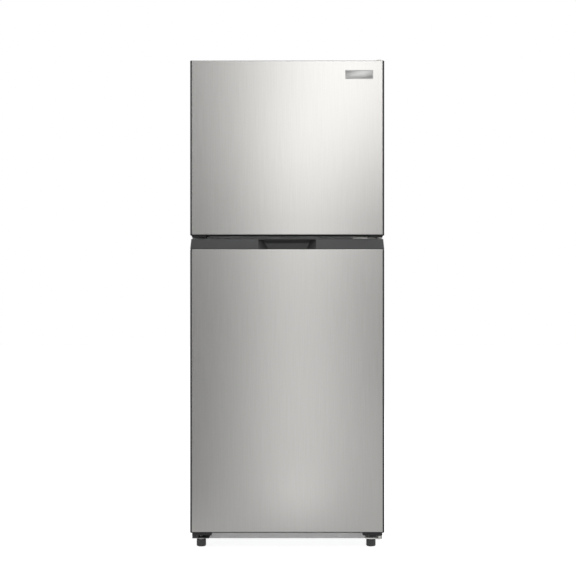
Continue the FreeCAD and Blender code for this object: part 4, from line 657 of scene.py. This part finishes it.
def dial_marks():
    low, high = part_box("temperature_dial")
    centre = (low + high) / 2
    for number, degrees in enumerate(MARK_ANGLES, start=1):
        turn = math.radians(degrees)
        name = f"dial_number_{number}"
        mesh = number_mesh(name, str(number))
        across = centre.x + MARK_RADIUS * math.cos(turn)
        height = centre.z + MARK_RADIUS * math.sin(turn)
        mesh.transform(Matrix.Translation((across, low.y + DIAL_GRIP, height)))
        piece(name, mesh, "temperature_dial_body", PRINT_INK, "dark_moulding")
    tip = centre.z + (high.z - low.z) / 2 + POINTER_GAP
    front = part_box("control_housing")[0].y - INK
    outline = [(-POINTER_HALF, POINTER_RISE), (POINTER_HALF, POINTER_RISE), (0, 0)]
    points = [(centre.x + x, y, tip + z) for y in (front, front + 2 * INK) for x, z in outline]
    faces = [(0, 1, 2), (5, 4, 3), (0, 3, 4, 1), (1, 4, 5, 2), (2, 5, 3, 0)]
    mesh = mesh_of("dial_pointer", points, faces)
    piece("dial_pointer", mesh, "cabinet", PRINT_INK, "dark_moulding")


dial_marks()

# ------------------------------------------------------------------ studio


def seen_rays(tree):
    """1 for the rays that reach the camera straight, by reflection or through clear pieces."""
    rays = add(tree, "ShaderNodeLightPath").outputs
    straight = {0: rays["Is Camera Ray"], 1: rays["Is Glossy Ray"]}
    seen = add(tree, "ShaderNodeMath", straight, operation="MAXIMUM")
    through = {0: seen.outputs[0], 1: rays["Is Transmission Ray"]}
    return add(tree, "ShaderNodeMath", through, operation="MAXIMUM")


# The floor reaches this far each way, in metres. What is seen of it glows nearly white and keeps a
# thin share of its own coat, which holds the shadow.
FLOOR_HALF = 14.0
FLOOR_SPECKS = 40.0
FLOOR_GLOW = 0.86


def studio_floor():
    half = FLOOR_HALF
    corners = [(-half, -half, 0), (half, -half, 0), (half, half, 0), (-half, half, 0)]
    floor = bpy.data.objects.new("studio_floor", mesh_of("studio_floor", corners, [(0, 1, 2, 3)]))
    bpy.context.scene.collection.objects.link(floor)
    material = bpy.data.materials.new("pale_studio_floor")
    material.use_nodes = True
    tree = material.node_tree
    tree.nodes.clear()
    place = add(tree, "ShaderNodeTexCoord").outputs["Object"]
    speck = add(tree, "ShaderNodeTexNoise", {"Vector": place}, scale=FLOOR_SPECKS, detail=3.0)
    tone = add(tree, "ShaderNodeMix", {"Factor": speck.outputs["Fac"]}, data_type="RGBA")
    tone.inputs[COLOUR_A].default_value = linear("f4f4f4")
    tone.inputs[COLOUR_B].default_value = linear("f8f8f8")
    coat = add(tree, "ShaderNodeBsdfDiffuse", {"Color": tone.outputs[COLOUR_OUT]})
    seen = seen_rays(tree)
    white = add(tree, "ShaderNodeEmission", strength=FLOOR_GLOW)
    thin = add(tree, "ShaderNodeBsdfDiffuse")
    thin.inputs[0].default_value = linear("a8a8a8")
    paper = add(tree, "ShaderNodeAddShader", {0: white.outputs[0], 1: thin.outputs[0]})
    both = add(tree, "ShaderNodeMixShader", {0: seen.outputs[0], 1: coat.outputs[0], 2: paper.outputs[0]})
    add(tree, "ShaderNodeOutputMaterial", {"Surface": both.outputs[0]})
    dress(floor, material)


studio_floor()


# The light of the air on the object, and the plain white that is seen behind it.
AIR_LIGHT, SEEN_WHITE = 0.55, 1.0


def studio_world():
    world = bpy.data.worlds.new("studio_air")
    bpy.context.scene.world = world
    world.use_nodes = True
    tree = world.node_tree
    tree.nodes.clear()
    seen = seen_rays(tree)
    soft = add(tree, "ShaderNodeBackground", strength=AIR_LIGHT)
    white = add(tree, "ShaderNodeBackground", strength=SEEN_WHITE)
    soft.inputs[0].default_value = linear("f6f8fa")
    white.inputs[0].default_value = linear("ffffff")
    both = add(tree, "ShaderNodeMixShader", {0: seen.outputs[0], 1: soft.outputs[0], 2: white.outputs[0]})
    add(tree, "ShaderNodeOutputWorld", {"Surface": both.outputs[0]})


studio_world()


def softbox(name, at, aim, size, watts):
    """A soft lamp at a place, turned to what it aims at. Its size is its width and height."""
    light = bpy.data.lights.new(name, "AREA")
    light.shape = "RECTANGLE"
    light.size, light.size_y = size
    light.energy = watts
    lamp = bpy.data.objects.new(name, light)
    bpy.context.scene.collection.objects.link(lamp)
    lamp.location = at
    lamp.visible_camera = False
    lamp.rotation_mode = "QUATERNION"
    lamp.rotation_quaternion = (Vector(aim) - Vector(at)).to_track_quat("-Z", "Y")


softbox("upper_strip", (0.32, -3.0, 2.2), (0.1, -0.3, 1.2), (0.8, 1.5), 25)
softbox("lower_strip", (0.05, -1.7, 0.78), (0.03, -0.3, 0.7), (0.25, 1.5), 3.9)
softbox("floor_strip", (0.04, -0.95, 0.07), (0.03, -0.3, 0.08), (0.16, 0.12), 0.11)
softbox("left_softbox", (-3.4, -0.6, 2.2), (0, 0, 0.8), (1.8, 2.4), 20)
softbox("right_softbox", (3.4, -0.6, 2.2), (0, 0, 0.8), (1.8, 2.4), 30)
softbox("top_softbox", (0.2, 0.4, 4.4), (0, 0, 0.8), (3.0, 3.0), 60)
softbox("rear_softbox", (1.2, 4.0, 2.4), (0, 0, 0.8), (2.4, 2.4), 50)


def dim_panel(name, corners, strength):
    """A dimmer part of the room, which only shiny surfaces show."""
    screen = bpy.data.objects.new(name, mesh_of(name, corners, [(0, 1, 2, 3)]))
    bpy.context.scene.collection.objects.link(screen)
    material = bpy.data.materials.new(name)
    material.use_nodes = True
    tree = material.node_tree
    tree.nodes.clear()
    glow = add(tree, "ShaderNodeEmission", strength=strength)
    add(tree, "ShaderNodeOutputMaterial", {"Surface": glow.outputs[0]})
    dress(screen, material)
    screen.visible_camera = False
    screen.visible_diffuse = False
    screen.visible_transmission = False
    screen.visible_shadow = False


# The end of the room behind the camera, and a mat on the floor before the left half of the doors.
ROOM_END, ROOM_HALF, ROOM_HEIGHT = -5.2, 3.0, 4.0
MAT_FRONT, MAT_SIDE, MAT_LEVEL = -0.75, -0.35, 0.002
SCREEN_GLOW, MAT_GLOW = 0.3, 0.4
screen_outline = [(-ROOM_HALF, 0), (ROOM_HALF, 0), (ROOM_HALF, ROOM_HEIGHT), (-ROOM_HALF, ROOM_HEIGHT)]
mat_outline = [
    (-ROOM_HALF, ROOM_END),
    (MAT_SIDE, ROOM_END),
    (MAT_SIDE, MAT_FRONT),
    (-ROOM_HALF, MAT_FRONT),
]
dim_panel("dim_screen", [(x, ROOM_END, z) for x, z in screen_outline], SCREEN_GLOW)
dim_panel("dim_mat", [(x, y, MAT_LEVEL) for x, y in mat_outline], MAT_GLOW)

# The camera looks straight at the doors from a little above their middle, in metres.
DOOR_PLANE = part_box("fridge_door_front")[0].y
CAMERA_AT = (0.0024, DOOR_PLANE - 4.08, 0.8137)
CAMERA_LENS, CAMERA_SENSOR = 81.9, 36.0
CAMERA_REACH = 60.0


def studio_camera():
    data = bpy.data.cameras.new("studio_camera")
    data.lens = CAMERA_LENS
    data.sensor_width = CAMERA_SENSOR
    data.clip_end = CAMERA_REACH
    camera = bpy.data.objects.new("studio_camera", data)
    bpy.context.scene.collection.objects.link(camera)
    camera.location = CAMERA_AT
    camera.rotation_euler = (math.pi / 2, 0, 0)
    bpy.context.scene.camera = camera


studio_camera()
bpy.context.scene.view_settings.view_transform = "Standard"
